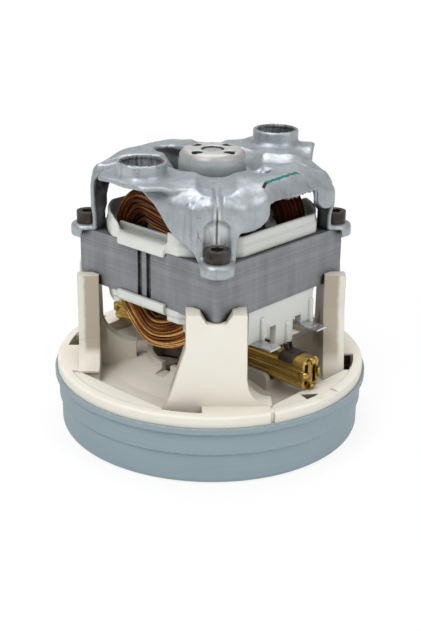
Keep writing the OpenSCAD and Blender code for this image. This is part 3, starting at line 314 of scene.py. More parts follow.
# Places on the solids, read by the finishes and the surfaces
COLLAR_BORE_R = 8.6
COLLAR_TOP = 122.1
COLLAR_Y = 40.3
DOME_R = 14.2
DOME_FOOT = 109.8
DOME_HOLE_OUT = 9.2
DOME_HOLE_R = 2.1
SHAFT_HOLE_R = 4.6
PLATE_UNDER = 113.0
LEG_START = 36.77
LEG_IN = 41.0
LEG_STRIP = 47.6
LEG_TOP = 107.0
RECESS_HALF = 3.8
RECESS_LOW = 92.0
RECESS_TOP = 104.2
RIM_TOP = 30.0
RIM_IN = 62.4
POST_IN = 44.0
POST_STRIP = 53.6
POST_OUT = 56.1
POST_POCKET = (5.3, 21.2)
BRUSH_POCKET = (-9.2, -0.8)
REAR_COIL = (8.0, 16.0)
UPPER_COIL = (84.0, 90.0)
# Inspection stroke: its middle and half lengths; the dash at its end, and the cosine and sine of its way
STROKE_X, STROKE_Y = 38.5, -2.0
STROKE_WIDE, STROKE_LONG = 0.8, 9.8
DASH_Y, DASH_LOW, DASH_WIDE, DASH_LONG = -11.5, 108.5, 0.6, 4.0
DASH_COS, DASH_SIN = 0.43, 0.90


# Masks

def reach_mask(tree, centre_y, near, far, bottom):
    """One near the upright axes at X = 0 and plus or minus a Y, above a height."""
    at = axes(tree)
    side = minus(tree, unsigned(tree, at["Y"]), centre_y*MM)
    away = level_reach(tree, at["X"], side)
    return times(tree, step_down(tree, away, near, far), over(tree, at["Z"], bottom))


def painted_post_shade(tree):
    """One on the upright inner parts of the corner posts, where painted shade goes."""
    at = axes(tree)
    out = diagonal(tree, unsigned(tree, at["X"]), unsigned(tree, at["Y"]))
    ragged = maths(tree, "ADD", out, times(tree, noise(tree, 260.0, 3.0), 1.6*MM))
    upright = spread(tree, unsigned(tree, facing(tree)["Z"]), 0.30, 0.60, 1.0, 0.0)
    return times(tree, upright, step_up(tree, out, POST_IN, POST_IN + 1.2),
                 step_down(tree, ragged, POST_STRIP, POST_STRIP + 1.4),
                 step_up(tree, at["Z"], RIM_TOP + 1.0, RIM_TOP + 6.0))


def pocket_shade(tree):
    """One on the walls of the rim's two open pockets: beside the right post and in front of the brush."""
    at = axes(tree)
    out = diagonal(tree, at["X"], at["Y"])
    across = times(tree, minus(tree, at["X"], at["Y"]), np.sqrt(0.5))
    post = times(tree, over(tree, out, POST_OUT), between(tree, across, *POST_POCKET))
    brush = times(tree, over(tree, at["X"], POST_OUT), between(tree, at["Y"], *BRUSH_POCKET), 0.75)
    deep = maths(tree, "LESS_THAN", at["Z"], (RIM_TOP - 0.8)*MM)
    inside = reach_mask(tree, 0.0, RIM_IN - 1.0, RIM_IN - 0.6, 0.0)
    return times(tree, maths(tree, "ADD", post, brush, clamp=True), deep, inside)


def leg_inside_shade(tree):
    """One on the inner sides of the left and right legs, which turn away from the light: painted shade."""
    at, normal = axes(tree), facing(tree)
    outward = times(tree, maths(tree, "ADD", normal["X"], normal["Y"]), maths(tree, "SIGN", at["X"]))
    out = diagonal(tree, unsigned(tree, at["X"]), unsigned(tree, at["Y"]))
    same = maths(tree, "GREATER_THAN", times(tree, at["X"], at["Y"]), 0.0)
    return times(tree, step_down(tree, out, LEG_STRIP, LEG_STRIP + 1.2), over(tree, out, LEG_IN), same,
                 spread(tree, outward, 0.2, 0.5, 1.0, 0.0), step_down(tree, at["Z"], LEG_TOP, LEG_TOP + 2.5))


def leg_painted_light(tree, tone):
    """Middle of each leg, in painted light and shade: a recess over the screw painted paler against its
    shade, and two painted highlights beside a painted shade line.
    """
    at = axes(tree)
    x, y = unsigned(tree, at["X"]), unsigned(tree, at["Y"])
    off = times(tree, unsigned(tree, minus(tree, x, y)), np.sqrt(0.5))
    leg = over(tree, diagonal(tree, x, y), LEG_START)
    recess = times(tree, step_down(tree, off, RECESS_HALF, RECESS_HALF + 1.2), leg, 0.75,
                   step_up(tree, at["Z"], RECESS_LOW, RECESS_LOW + 1.5),
                   step_down(tree, at["Z"], RECESS_TOP - 2.2, RECESS_TOP))
    tone = mix(tree, recess, tone, (0.76, 0.775, 0.775))
    line = times(tree, leg, over(tree, at["Z"], RECESS_LOW + 1.5), 0.85,
                 step_down(tree, at["Z"], RECESS_TOP + 1.8, RECESS_TOP + 7.3))
    tone = mix(tree, times(tree, step_down(tree, off, 1.2, 1.7), line), tone, (0.84, 0.855, 0.86))
    return mix(tree, times(tree, step_down(tree, off, 0.3, 0.5), line), tone, (0.09, 0.095, 0.10))


def dome_hole_shade(tree):
    """One on the walls of the dome's holes, which are painted dark as shade: four small ones on the X and Y
    axes and one round the shaft.
    """
    at = axes(tree)
    x, y = unsigned(tree, at["X"]), unsigned(tree, at["Y"])
    along = minus(tree, maths(tree, "MAXIMUM", x, y), DOME_HOLE_OUT*MM)
    away = level_reach(tree, along, maths(tree, "MINIMUM", x, y))
    small = times(tree, step_down(tree, away, DOME_HOLE_R, DOME_HOLE_R + 0.3),
                  over(tree, at["Z"], PLATE_UNDER))
    shaft = reach_mask(tree, 0.0, SHAFT_HOLE_R, SHAFT_HOLE_R + 0.2, PLATE_UNDER)
    return maths(tree, "MAXIMUM", small, shaft)


def dome_painted_light(tree, speck):
    """Dome's colour, painted light and shade: darker towards the foot of its side, warm round its edge and
    palest on its top, by how far it faces up.
    """
    upward = facing(tree)["Z"]
    upper = mix(tree, speck, (0.50, 0.525, 0.520), (0.40, 0.420, 0.418))
    lower = mix(tree, speck, (0.190, 0.205, 0.210), (0.140, 0.152, 0.156))
    side = mix(tree, step_up(tree, axes(tree)["Z"], DOME_FOOT + 1.4, DOME_FOOT + 6.6), lower, upper)
    side = mix(tree, spread(tree, upward, 0.15, 0.60), side, (0.370, 0.352, 0.337))
    return mix(tree, spread(tree, upward, 0.80, 0.98), side, (0.480, 0.490, 0.494))


def paint_stroke(tree):
    """Green inspection stroke on the plate's brush side: a thin band along Y with ragged ends."""
    at = axes(tree)
    ragged = times(tree, minus(tree, noise(tree, 500.0, 3.0), 0.5), 2.4*MM)
    x, y = maths(tree, "ADD", at["X"], ragged), maths(tree, "ADD", at["Y"], ragged)
    return times(tree, between(tree, x, STROKE_X - STROKE_WIDE, STROKE_X + STROKE_WIDE),
                 between(tree, y, STROKE_Y - STROKE_LONG, STROKE_Y + STROKE_LONG),
                 over(tree, at["Z"], PLATE_UNDER + 0.5))


def pen_dash(tree):
    """Black end of the stroke: a short band that leaves its end at a slant."""
    at = axes(tree)
    x = minus(tree, at["X"], STROKE_X*MM)
    y = minus(tree, DASH_Y*MM, at["Y"])
    along = maths(tree, "ADD", times(tree, x, DASH_COS), times(tree, y, DASH_SIN))
    off = minus(tree, times(tree, x, DASH_SIN), times(tree, y, DASH_COS))
    return times(tree, between(tree, off, -DASH_WIDE, DASH_WIDE), between(tree, along, 0.0, DASH_LONG),
                 over(tree, at["Z"], DASH_LOW))


# Materials

def new_material(name, **sockets):
    """Material with a Principled shader whose uniform values are set on its own sockets."""
    made = bpy.data.materials.new(name)
    made.use_nodes = True
    shader = made.node_tree.nodes["Principled BSDF"]
    for key, value in sockets.items():
        shader.inputs[key.replace("_", " ")].default_value = value
    return made, made.node_tree, shader


def feed(tree, shader, **sockets):
    """Links sockets into the shader's inputs."""
    for key, value in sockets.items():
        tree.links.new(value, shader.inputs[key.replace("_", " ")])


def bumped(tree, height, strength, distance, normal=None):
    """Normal of a bump, over another normal where one is given."""
    inputs = {"Height": height, "Strength": strength, "Distance": distance}
    if normal is not None:
        inputs["Normal"] = normal
    return add(tree, "ShaderNodeBump", inputs).outputs[0]


def drum_paint():
    """Blue-grey coated sheet: slow patches, fine grain, faint rings left by drawing."""
    made, tree, shader = new_material("drum_paint", Metallic=0.25)
    patch = use(tree, MOTTLE, Scale=22.0, Contrast=1.6)["Value"]
    rings = noise(tree, 900.0, 2.0, (0.02, 0.02, 1.0))
    tone = mix(tree, patch, (0.225, 0.295, 0.330), (0.275, 0.350, 0.385))
    tone = mix(tree, spread(tree, rings, 0.4, 0.7, 0.0, 0.25), tone, (0.31, 0.385, 0.42))
    edge = use(tree, EDGES, Radius=0.0005, Gain=5.0, Breakup=700.0)
    tone = mix(tree, edge["Mask"], tone, (0.55, 0.60, 0.62))
    height = use(tree, GRAIN, Scale=2600.0)["Height"]
    feed(tree, shader, Base_Color=tone, Roughness=spread(tree, patch, 0.0, 1.0, 0.46, 0.60),
         Normal=bumped(tree, height, 0.12, 0.0002, edge["Normal"]))
    return made


def moulded_plastic(name, light, shade, hollow_dirt_and_shade, rough, grain, painted_shade_tone=None):
    """Moulded plastic: two close tones in patches, dirt and painted shade in the hollows, soft edges, fine
    grain.

    Where a painted shade tone is given, painted shade lies on the upright inner parts of the posts, and the
    rim's pockets are painted dark as shade.
    """
    made, tree, shader = new_material(name, Subsurface_Weight=0.06, Subsurface_Scale=0.003)
    patch = use(tree, MOTTLE, Scale=30.0, Contrast=1.8)["Value"]
    tone = mix(tree, patch, light, shade)
    # Dirt and painted shade: browner in corners and hollows.
    hollow = use(tree, CREVICE, Distance=0.024, Power=1.7)["Mask"]
    tone = mix(tree, times(tree, hollow, 0.75), tone, hollow_dirt_and_shade)
    # Painted shade on the posts' inner sides, and dark painted shade in the rim's pockets.
    if painted_shade_tone:
        tone = mix(tree, painted_post_shade(tree), tone, painted_shade_tone)
        tone = mix(tree, pocket_shade(tree), tone, (0.022, 0.015, 0.008))
    edge = use(tree, EDGES, Radius=0.0008, Gain=3.0, Breakup=300.0)
    height = use(tree, GRAIN, Scale=grain)["Height"]
    feed(tree, shader, Base_Color=tone, Roughness=spread(tree, patch, 0.0, 1.0, rough - 0.05, rough + 0.07),
         Normal=bumped(tree, height, 0.10, 0.0002, edge["Normal"]))
    return made


def lamination_steel():
    """Stacked sheet steel: faint joints, each sheet its own tone, upright stripes and a few darker sheets."""
    made, tree, shader = new_material("lamination_steel", Metallic=0.50)
    stack = use(tree, LAMINATIONS, Pitch=0.00052, Line=0.15)
    stripe = noise(tree, 900.0, 2.0, (1.0, 1.0, 0.02))
    smear = noise(tree, 160.0, 3.0, (1.0, 1.0, 0.25))
    tone = mix(tree, stack["Tone"], (0.215, 0.225, 0.240), (0.275, 0.285, 0.300))
    tone = mix(tree, spread(tree, stripe, 0.40, 0.62, 0.0, 0.35), tone, (0.305, 0.315, 0.330))
    tone = mix(tree, spread(tree, smear, 0.40, 0.70, 0.0, 0.45), tone, (0.175, 0.18, 0.19))
    tone = mix(tree, times(tree, stack["Joint"], 0.30), tone, (0.12, 0.12, 0.13))
    tone = mix(tree, times(tree, maths(tree, "GREATER_THAN", stack["Tone"], 0.93), 0.5), tone,
               (0.13, 0.135, 0.145))
    # Painted shade: near black in corners and hollows.
    hollow = use(tree, CREVICE, Distance=0.0045, Power=1.1)["Mask"]
    tone = mix(tree, spread(tree, hollow, 0.30, 0.62), tone, (0.022, 0.016, 0.010))
    edge = use(tree, EDGES, Radius=0.0006, Gain=4.0, Breakup=600.0)
    tone = mix(tree, times(tree, edge["Mask"], 0.6), tone, (0.42, 0.42, 0.44))
    height = minus(tree, 1.0, stack["Joint"])
    feed(tree, shader, Base_Color=tone, Roughness=spread(tree, smear, 0.3, 0.7, 0.42, 0.58),
         Normal=bumped(tree, height, 0.22, 0.0001, edge["Normal"]))
    return made


def zinc_sheet():
    """Galvanised pressed sheet: blue-grey patches, drawn streaks, painted shade in hollows and holes, dark
    bores, bright edges, and painted light and shade on the dome and legs.
    """
    made, tree, shader = new_material("zinc_sheet")
    patch = use(tree, MOTTLE, Scale=70.0, Contrast=2.6)["Value"]
    fine = use(tree, MOTTLE, Scale=420.0, Contrast=1.8)["Value"]
    drawn = noise(tree, 420.0, 3.0, (1.0, 1.0, 0.10))
    tone = mix(tree, patch, (0.325, 0.362, 0.385), (0.475, 0.515, 0.535))
    tone = mix(tree, spread(tree, fine, 0.3, 0.8, 0.0, 0.30), tone, (0.30, 0.335, 0.355))
    tone = mix(tree, spread(tree, drawn, 0.52, 0.70, 0.0, 0.45), tone, (0.22, 0.24, 0.25))
    # Dome: painted light and shade, palest where it faces up and dark at its foot.
    dome = reach_mask(tree, 0.0, DOME_R, DOME_R + 0.6, DOME_FOOT)
    tone = mix(tree, dome, tone, dome_painted_light(tree, fine))
    # Painted shade in corners and hollows.
    hollow = use(tree, CREVICE, Distance=0.009, Power=1.7)["Mask"]
    tone = mix(tree, times(tree, hollow, 0.50), tone, (0.085, 0.088, 0.092))
    edge = use(tree, EDGES, Radius=0.0011, Gain=4.0, Breakup=420.0)
    tone = mix(tree, times(tree, edge["Mask"], 0.7), tone, (0.64, 0.67, 0.685))
    # Painted light and shade down the middle of each leg.
    tone = leg_painted_light(tree, tone)
    # Painted shade on the legs' inner sides.
    tone = mix(tree, times(tree, leg_inside_shade(tree), 0.8), tone, (0.075, 0.080, 0.085))
    mark = use(tree, SCRATCHES, Scale=55.0, Width=0.010)["Mask"]
    tone = mix(tree, times(tree, mark, 0.6), tone, (0.16, 0.17, 0.18))
    streak = noise(tree, 900.0, 3.0, (1.0, 1.0, 0.12))
    torn = mix(tree, spread(tree, streak, 0.40, 0.62), (0.12, 0.125, 0.13), (0.30, 0.31, 0.315))
    bores = reach_mask(tree, COLLAR_Y, COLLAR_BORE_R + 0.10, COLLAR_BORE_R + 0.25, PLATE_UNDER)
    tone = mix(tree, bores, tone, torn)
    # Painted shade in the dome's holes.
    tone = mix(tree, dome_hole_shade(tree), tone, (0.030, 0.030, 0.032))
    tone = mix(tree, paint_stroke(tree), tone, (0.01, 0.20, 0.15))
    tone = mix(tree, pen_dash(tree), tone, (0.012, 0.013, 0.014))
    waves = noise(tree, 60.0, 2.0)
    feed(tree, shader, Base_Color=tone, Metallic=spread(tree, dome, 0.0, 1.0, 0.66, 0.30),
         Roughness=spread(tree, fine, 0.0, 1.0, 0.34, 0.50),
         Normal=bumped(tree, waves, 0.45, 0.0022, edge["Normal"]))
    return made


def metal(name, light, dark, rough, metallic=0.9, stretch=(1, 1, 1), scale=300.0, edge_tone=None, spot=0.4):
    """Worked metal: streaks between two tones, painted shade in hollows, brighter along edges."""
    made, tree, shader = new_material(name, Metallic=metallic)
    streak = noise(tree, scale, 3.0, stretch)
    tone = mix(tree, spread(tree, streak, 0.32, 0.68), light, dark)
    # Painted shade in corners and hollows.
    hollow = use(tree, CREVICE, Distance=0.004, Power=1.2)["Mask"]
    shade = tuple(0.35*c for c in dark)
    tone = mix(tree, times(tree, hollow, spot), tone, shade)
    edge = use(tree, EDGES, Radius=0.0003, Gain=5.0, Breakup=800.0)
    tone = mix(tree, edge["Mask"], tone, edge_tone or tuple(min(1.0, 1.35*c) for c in light))
    feed(tree, shader, Base_Color=tone, Roughness=spread(tree, streak, 0.3, 0.7, rough - 0.08, rough + 0.10),
         Normal=bumped(tree, streak, 0.10, 0.0002, edge["Normal"]))
    return made


def dull(name, light, dark, rough, scale):
    """Unpolished non-metal, such as carbon, rubber or resin: speckle between two tones."""
    made, tree, shader = new_material(name)
    speck = noise(tree, scale, 4.0)
    edge = use(tree, EDGES, Radius=0.0003, Gain=3.0, Breakup=700.0)
    tone = mix(tree, spread(tree, speck, 0.35, 0.65), light, dark)
    feed(tree, shader, Base_Color=tone, Roughness=spread(tree, speck, 0.3, 0.7, rough - 0.06, rough + 0.08),
         Normal=bumped(tree, speck, 0.15, 0.0001, edge["Normal"]))
    return made


def enamelled_wire(name, dark, middle, bright, red_lacquer_and_shade):
    """Lacquered wire: each turn's own tone from the mesh's tone attribute, over small speckle.

    The upper part of the rear coil is redder from its lacquer and darker from painted shade, by the last
    colour given.
    """
    made, tree, shader = new_material(name, Metallic=0.80, Coat_Roughness=0.20, Coat_Weight=0.20)
    tone = add(tree, "ShaderNodeAttribute", attribute_name="tone").outputs["Fac"]
    speck = noise(tree, 700.0, 2.0)
    base = mix(tree, spread(tree, tone, 0.0, 0.5), dark, middle)
    base = mix(tree, spread(tree, tone, 0.5, 1.0), base, bright)
    at = axes(tree)
    # Red lacquer and painted shade on the upper part of the rear coil.
    rear = times(tree, step_up(tree, at["Y"], *REAR_COIL), step_up(tree, at["Z"], *UPPER_COIL), 0.75)
    base = mix(tree, rear, base, mix(tree, tone, dark, red_lacquer_and_shade))
    base = mix(tree, spread(tree, speck, 0.45, 0.75, 0.0, 0.35), base, dark)
    # Painted shade between the turns.
    hollow = use(tree, CREVICE, Distance=0.003, Power=1.0)["Mask"]
    base = mix(tree, times(tree, hollow, 0.75), base, tuple(0.3*c for c in dark))
    feed(tree, shader, Base_Color=base, Roughness=spread(tree, tone, 0.0, 1.0, 0.42, 0.26))
    return made


FINISH = {
    "cover_paint": drum_paint(),
    # Cream plastic's last two colours: dirt and painted shade in its hollows, then painted shade on its
    # posts.
    "cream_plastic": moulded_plastic("cream_plastic", (0.765, 0.742, 0.665), (0.725, 0.695, 0.610),
                                     (0.23, 0.170, 0.105), 0.50, 2200.0, (0.42, 0.365, 0.285)),
    "white_plastic": moulded_plastic("white_plastic", (0.665, 0.685, 0.655), (0.60, 0.62, 0.59),
                                     (0.215, 0.20, 0.165), 0.42, 2600.0),
    "lamination_steel": lamination_steel(),
    "zinc_sheet": zinc_sheet(),
    "dark_steel": metal("dark_steel", (0.075, 0.062, 0.052), (0.03, 0.024, 0.020), 0.42, 0.7,
                        edge_tone=(0.22, 0.19, 0.16)),
    "bright_steel": metal("bright_steel", (0.74, 0.75, 0.76), (0.58, 0.59, 0.60), 0.28, 0.85, (1, 1, 8)),
    "tinned_steel": metal("tinned_steel", (0.68, 0.70, 0.71), (0.52, 0.54, 0.55), 0.30, 0.9, (3, 1, 1)),
    "holder_brass": metal("holder_brass", (0.66, 0.455, 0.125), (0.30, 0.175, 0.038), 0.28, 0.9,
                          (0.08, 1, 1), 420.0, (0.80, 0.60, 0.24), 0.7),
    "copper": metal("copper", (0.55, 0.25, 0.12), (0.36, 0.13, 0.06), 0.34, 0.92, (1, 1, 0.2)),
    "fan_aluminium": metal("fan_aluminium", (0.62, 0.63, 0.64), (0.50, 0.51, 0.52), 0.36, 0.9),
    "black_rubber": dull("black_rubber", (0.020, 0.020, 0.021), (0.012, 0.012, 0.012), 0.72, 900.0),
    "dark_resin": dull("dark_resin", (0.055, 0.032, 0.020), (0.030, 0.018, 0.012), 0.55, 700.0),
    "cage_resin": dull("cage_resin", (0.34, 0.27, 0.15), (0.25, 0.19, 0.10), 0.50, 900.0),
    "carbon": dull("carbon", (0.030, 0.030, 0.032), (0.014, 0.014, 0.015), 0.62, 2400.0),
    # Wire colours: dark, middle, bright, then red lacquer with painted shade for the rear coil's top.
    "copper_wire": enamelled_wire("copper_wire", (0.070, 0.015, 0.004), (0.40, 0.130, 0.026),
                                  (0.95, 0.53, 0.175), (0.62, 0.10, 0.04)),
    "red_wire": enamelled_wire("red_wire", (0.035, 0.006, 0.004), (0.16, 0.026, 0.014), (0.30, 0.07, 0.03),
                               (0.30, 0.05, 0.02)),
}


def dress_cad():
    """Gives every CAD node the finish of its slot in the record."""
    for row in frame["record"]["subparts"]:
        finishes = cad[row["node"]].data.materials
        finishes.clear()
        finishes.append(FINISH[row["material_slot"]])


# Surfaces

def grid_faces(rows, columns, start, wrap_rows=False):
    """Quads of a grid whose columns close on themselves; rows close too where asked."""
    count = rows if wrap_rows else rows - 1
    row, column = np.meshgrid(np.arange(count), np.arange(columns), indexing="ij")
    below = start + row*columns
    above = start + (row + 1) % rows*columns
    after = (column + 1) % columns
    return np.stack([below + column, below + after, above + after, above + column], -1).reshape(-1, 4)


def make_piece(name, grids, body, slot, closed_rows=False):
    """Mesh from grids of (rows, columns, 3) points in millimetres with a tone for each point.

    Every grid is a skin whose columns run round it; its two end rows are capped by one face each
    unless its rows close on themselves.
    """
    points, tones, faces, start = [], [], [], 0
    for grid, tone in grids:
        rows, columns = grid.shape[:2]
        points.append(grid.reshape(-1, 3)*MM)
        tones.append(np.broadcast_to(tone, (rows, columns)).reshape(-1))
        faces += grid_faces(rows, columns, start, closed_rows).tolist()
        if not closed_rows:
            faces.append((start + np.arange(columns)[::-1]).tolist())
            faces.append((start + (rows - 1)*columns + np.arange(columns)).tolist())
        start += rows*columns
    mesh = bpy.data.meshes.new(name)
    mesh.from_pydata(np.concatenate(points).tolist(), [], faces)
    mesh.attributes.new("tone", "FLOAT", "POINT").data.foreach_set(
        "value", np.concatenate(tones).astype(np.float32))
    return place_piece(name, mesh, body, slot)


def place_piece(name, mesh, body, slot):
    """Smooth object from a mesh, with the finish of its slot, riding on a body."""
    mesh.polygons.foreach_set("use_smooth", np.ones(len(mesh.polygons), dtype=bool))
    mesh.update()
    made = new_object(name, mesh)
    mesh.materials.clear()
    mesh.materials.append(FINISH[slot])
    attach(made, body)
    return made


def unit(vectors):
    """Vectors scaled to length one."""
    return vectors/np.linalg.norm(vectors, axis=-1, keepdims=True)


def wire_skin(path, radius, sides, across):
    """Round wire along a path: path + radius*(e cos v + f sin v), e and f square to the path's tangent."""
    tangent = unit(np.gradient(path, axis=0))
    e = unit(np.cross(tangent, np.broadcast_to(across, path.shape)))
    f = np.cross(tangent, e)
    angle = np.arange(sides)/sides*TAU
    ring = e[:, None, :]*np.cos(angle)[None, :, None] + f[:, None, :]*np.sin(angle)[None, :, None]
    return path[:, None, :] + radius*ring


# Field windings: the same loop as the solids, with the finer turns of the real coil
COIL_X = 20.1
COIL_Y = 27.0
COIL_RISE_UP = 13.5
COIL_RISE_LOW = 17.1
COIL_STRAIGHT = 20.8
COIL_LEAN = 3.4
COIL_TILT = 0.24
COIL_THICK = 11.0
COIL_DEEP = 6.4
STACK_MIDDLE = 75.4
FIELD_WIRE = 0.84
ARC_SHARE = 0.72


def coil_line(turn, out, deep, side):
    """Point of a coil: flattened arch over the stack, straight through it, half ellipse below, and back.

    turn counts loops; out and deep shift the point in the bundle's section; side is 1 at the front
    coil and -1 at the rear one, which is the front one turned half round about the shaft. The upper
    arch falls along x by the tilt, and both ends lean outwards as the sixth power of the sine.
    """
    half = np.floor(2*(turn % 1.0))
    along = 2*(turn % 1.0) - half
    flip = 1 - 2*half
    angle = np.pi*np.clip(along/ARC_SHARE, 0, 1)
    down = np.clip((along - ARC_SHARE)/(1 - ARC_SHARE), 0, 1)*COIL_STRAIGHT
    sine = np.abs(np.sin(angle))
    rise = np.where(flip > 0, COIL_RISE_UP, COIL_RISE_LOW) + out
    x = (COIL_X + out)*np.cos(angle)
    fall = np.where(flip > 0, COIL_TILT, 0.0)*sine**2*x
    z = COIL_STRAIGHT/2 + rise*sine**np.where(flip > 0, 0.8, 1.0) - down - fall
    y = COIL_Y + deep + COIL_LEAN*sine**6
    return np.stack([side*flip*x, -side*y, STACK_MIDDLE + flip*z], -1)


def section_point(share, grow):
    """Point at a share of the bundle's outline: a rounded rectangle, grown outwards by a distance."""
    angle = np.linspace(0, TAU, 721)
    power = 0.45
    wide = (COIL_THICK/2 + grow)*np.sign(np.cos(angle))*np.abs(np.cos(angle))**power
    deep = (COIL_DEEP/2 + grow)*np.sign(np.sin(angle))*np.abs(np.sin(angle))**power
    run = np.concatenate([[0], np.cumsum(np.hypot(np.diff(wide), np.diff(deep)))])
    wanted = (share % 1.0)*run[-1]
    return np.interp(wanted, run, wide), np.interp(wanted, run, deep)


def wander(turn, phases, rates):
    """Slow drift of a wire from its place: a sum of sines at rates that never repeat from turn to turn."""
    waves = np.sin(TAU*turn[:, None]*np.array(rates) + np.array(phases))
    return waves.mean(axis=1)


def field_winding(name, side, seed):
    """Coil of lacquered wire: one wire laid round the bundle, a second sparse layer over it, and a core
    painted dark as shade between the turns.

    The tone of a turn is drawn at random; below the stack it is paler, most of all on the bundle's outside,
    and above it darker, which is painted light and shade.
    """
    draw = np.random.default_rng(seed)
    around = 72
    first, second = 39, 20
    turn = np.arange((first + second)*around + 1)/around
    layer = (turn > first).astype(float)
    drift = wander(turn, draw.uniform(0, TAU, 4), (1.37, 2.61, 0.43, 3.19))
    swell = wander(turn, draw.uniform(0, TAU, 3), (0.71, 1.93, 2.47))
    share = np.where(layer > 0, 0.02 + (turn - first)/second*0.46, turn/first)
    share = share + drift*(0.012 + 0.022*layer)
    out, deep = section_point(share, 0.0)
    away_out, away_deep = section_point(share, 1.0)
    lift = 0.15 + 0.62*layer + 0.16*swell
    path = coil_line(turn, out + (away_out - out)*lift, deep + (away_deep - deep)*lift, side)
    # Painted light and shade: paler below the stack and on the bundle's outside, darker above it.
    lower = np.clip((STACK_MIDDLE - path[:, 2])/8, -1, 1)
    lot = draw.random(first + second + 1)[np.floor(turn).astype(int)]
    tone = 0.46 + (0.72 + 0.14*lower)*(lot - 0.42) + 0.14*swell + 0.18*lower
    tone = tone + 0.22*np.clip(lower, 0, 1)*out/(COIL_THICK/2)
    wires = wire_skin(path, FIELD_WIRE/2, 6, (0, 1, 0))
    loop = np.arange(96)/96
    ring = np.arange(28)/28
    core_out, core_deep = section_point(ring, -0.25)
    core = np.stack([coil_line(loop, o, d, side) for o, d in zip(core_out, core_deep)], 1)
    core = np.concatenate([core, core[:1]])
    return make_piece(name, [(wires, tone[:, None]), (core, 0.12)], "frame", "copper_wire")


# Armature core's faces, the circle of its slots, and the outline of a winding head as shares of its length
CORE_TOP = 86.8
CORE_LOW = 64.0
SLOT_CIRCLE = 17.2
SLOT_FILL_R = 2.4
ROTOR_WIRE_R = 0.42
HEAD_SHARE = (0, 0.12, 0.5, 0.8, 1)
HEAD_R = (18.6, 19.0, 18.4, 14.0, 6.4)


def armature_turns(name, seed):
    """Winding heads: wire bundles arched from slot to slot over rounded heads, and the slots' straight fills.

    A bundle's wire turns by five slots while its radius dips towards the shaft as a sine and its height
    rises as a flattened sine; each bundle lies on those before it.
    """
    draw = np.random.default_rng(seed)
    slots, wires = 12, 9
    span = TAU*5/slots
    t = np.linspace(0, 1, 40)
    v = np.linspace(0, 1, 20)
    ring = np.arange(48)/48*TAU
    head_r = np.interp(v, HEAD_SHARE, HEAD_R)
    grids = []
    for face, way, tall in ((CORE_TOP, 1, 15.2), (CORE_LOW, -1, 17.4)):
        head_z = np.interp(v, HEAD_SHARE, (0.0, 2.0, 0.62*tall, 0.86*tall, 0.90*tall))
        skin = np.stack([head_r[:, None]*np.cos(ring), head_r[:, None]*np.sin(ring),
                         face + way*np.broadcast_to(head_z[:, None], (len(v), len(ring)))], -1)
        grids.append((skin if way > 0 else skin[:, ::-1], 0.10))
        for i in range(slots):
            start = TAU*i/slots
            for j in range(wires):
                shift = (j - wires/2)/wires
                level = (0.30 + 0.55*((i*5) % slots)/slots)*tall
                angle = start + span*t + 0.10*shift + 0.03*draw.standard_normal()
                reach = SLOT_CIRCLE + 1.6*shift - (7.2 + 1.5*shift)*np.sin(np.pi*t)
                rise = (level + 1.6*shift)*np.sin(np.pi*t)**0.55
                path = np.stack([reach*np.cos(angle), reach*np.sin(angle), face + way*(rise + 0.4)], -1)
                grids.append((wire_skin(path, ROTOR_WIRE_R, 5, (0.1, 0.05, 1.0)), 0.35 + 0.6*draw.random()))
    spot = np.arange(16)/16*TAU
    level = np.linspace(CORE_LOW, CORE_TOP, 4)[:, None]
    for i in range(slots):
        x = SLOT_CIRCLE*np.cos(TAU*i/slots) + SLOT_FILL_R*np.cos(spot)
        y = SLOT_CIRCLE*np.sin(TAU*i/slots) + SLOT_FILL_R*np.sin(spot)
        grids.append((np.stack(np.broadcast_arrays(x, y, level), -1), 0.4))
    return make_piece(name, grids, "rotor", "red_wire")


# Brushes and their holders: height of the axis, the brush's back, the holder's end, spring and braid
BRUSH_Z = 36.3
BRUSH_BACK = 37.25
HOLDER_END = 54.4
SPRING_R = 2.65
SPRING_WIRE_R = 0.32
BRAID_R = 0.62
BRAID_LONG = 6.8
STRAND_R = 0.19
# Folded strips of a holder: sheet, bend and its angle, straight ends, overhang, gap, widths on sides and top
TAB_THICK, TAB_BEND, TAB_TURN = 0.8, 1.2, 1.3
TAB_ROOT, TAB_TIP, TAB_PROUD, TAB_GAP = 2.5, 1.5, 0.4, 0.05
TAB_SIDE_WIDE, TAB_TOP_WIDE = 3.4, 2.4


def brush_spring(name, side):
    """Helix along X from the brush's back to the holder's end, with its end curls closed up."""
    curls, around = 9, 20
    t = np.linspace(0, 1, curls*around + 1)
    angle = TAU*curls*t
    share = t - 0.45*np.sin(TAU*t)/TAU
    x = BRUSH_BACK + (HOLDER_END - 0.5 - BRUSH_BACK)*share
    path = np.stack([side*x, side*SPRING_R*np.cos(angle), BRUSH_Z + SPRING_R*np.sin(angle)], -1)
    return make_piece(name, [(wire_skin(path, SPRING_WIRE_R, 8, (1, 0, 0)), 0.5)], "frame", "bright_steel")


def braid_end(name, side):
    """End of a brush's braided lead: strands that wind both ways round an axis, up to the holder's end."""
    strands = 10
    t = np.linspace(0, 1, 44)
    x = HOLDER_END - 0.1 - BRAID_LONG*(1 - t)
    grids = []
    for k in range(strands):
        way = 1 if k % 2 else -1
        angle = TAU*(k/strands + way*1.6*t)
        reach = BRAID_R + 0.08*np.sin(TAU*(5*t + k/2))
        path = np.stack([side*x, reach*np.cos(angle), BRUSH_Z + reach*np.sin(angle)], -1)
        grids.append((wire_skin(path, STRAND_R, 6, (0, 0.3, 1)), 0.5))
    return make_piece(name, grids, "frame", "copper")


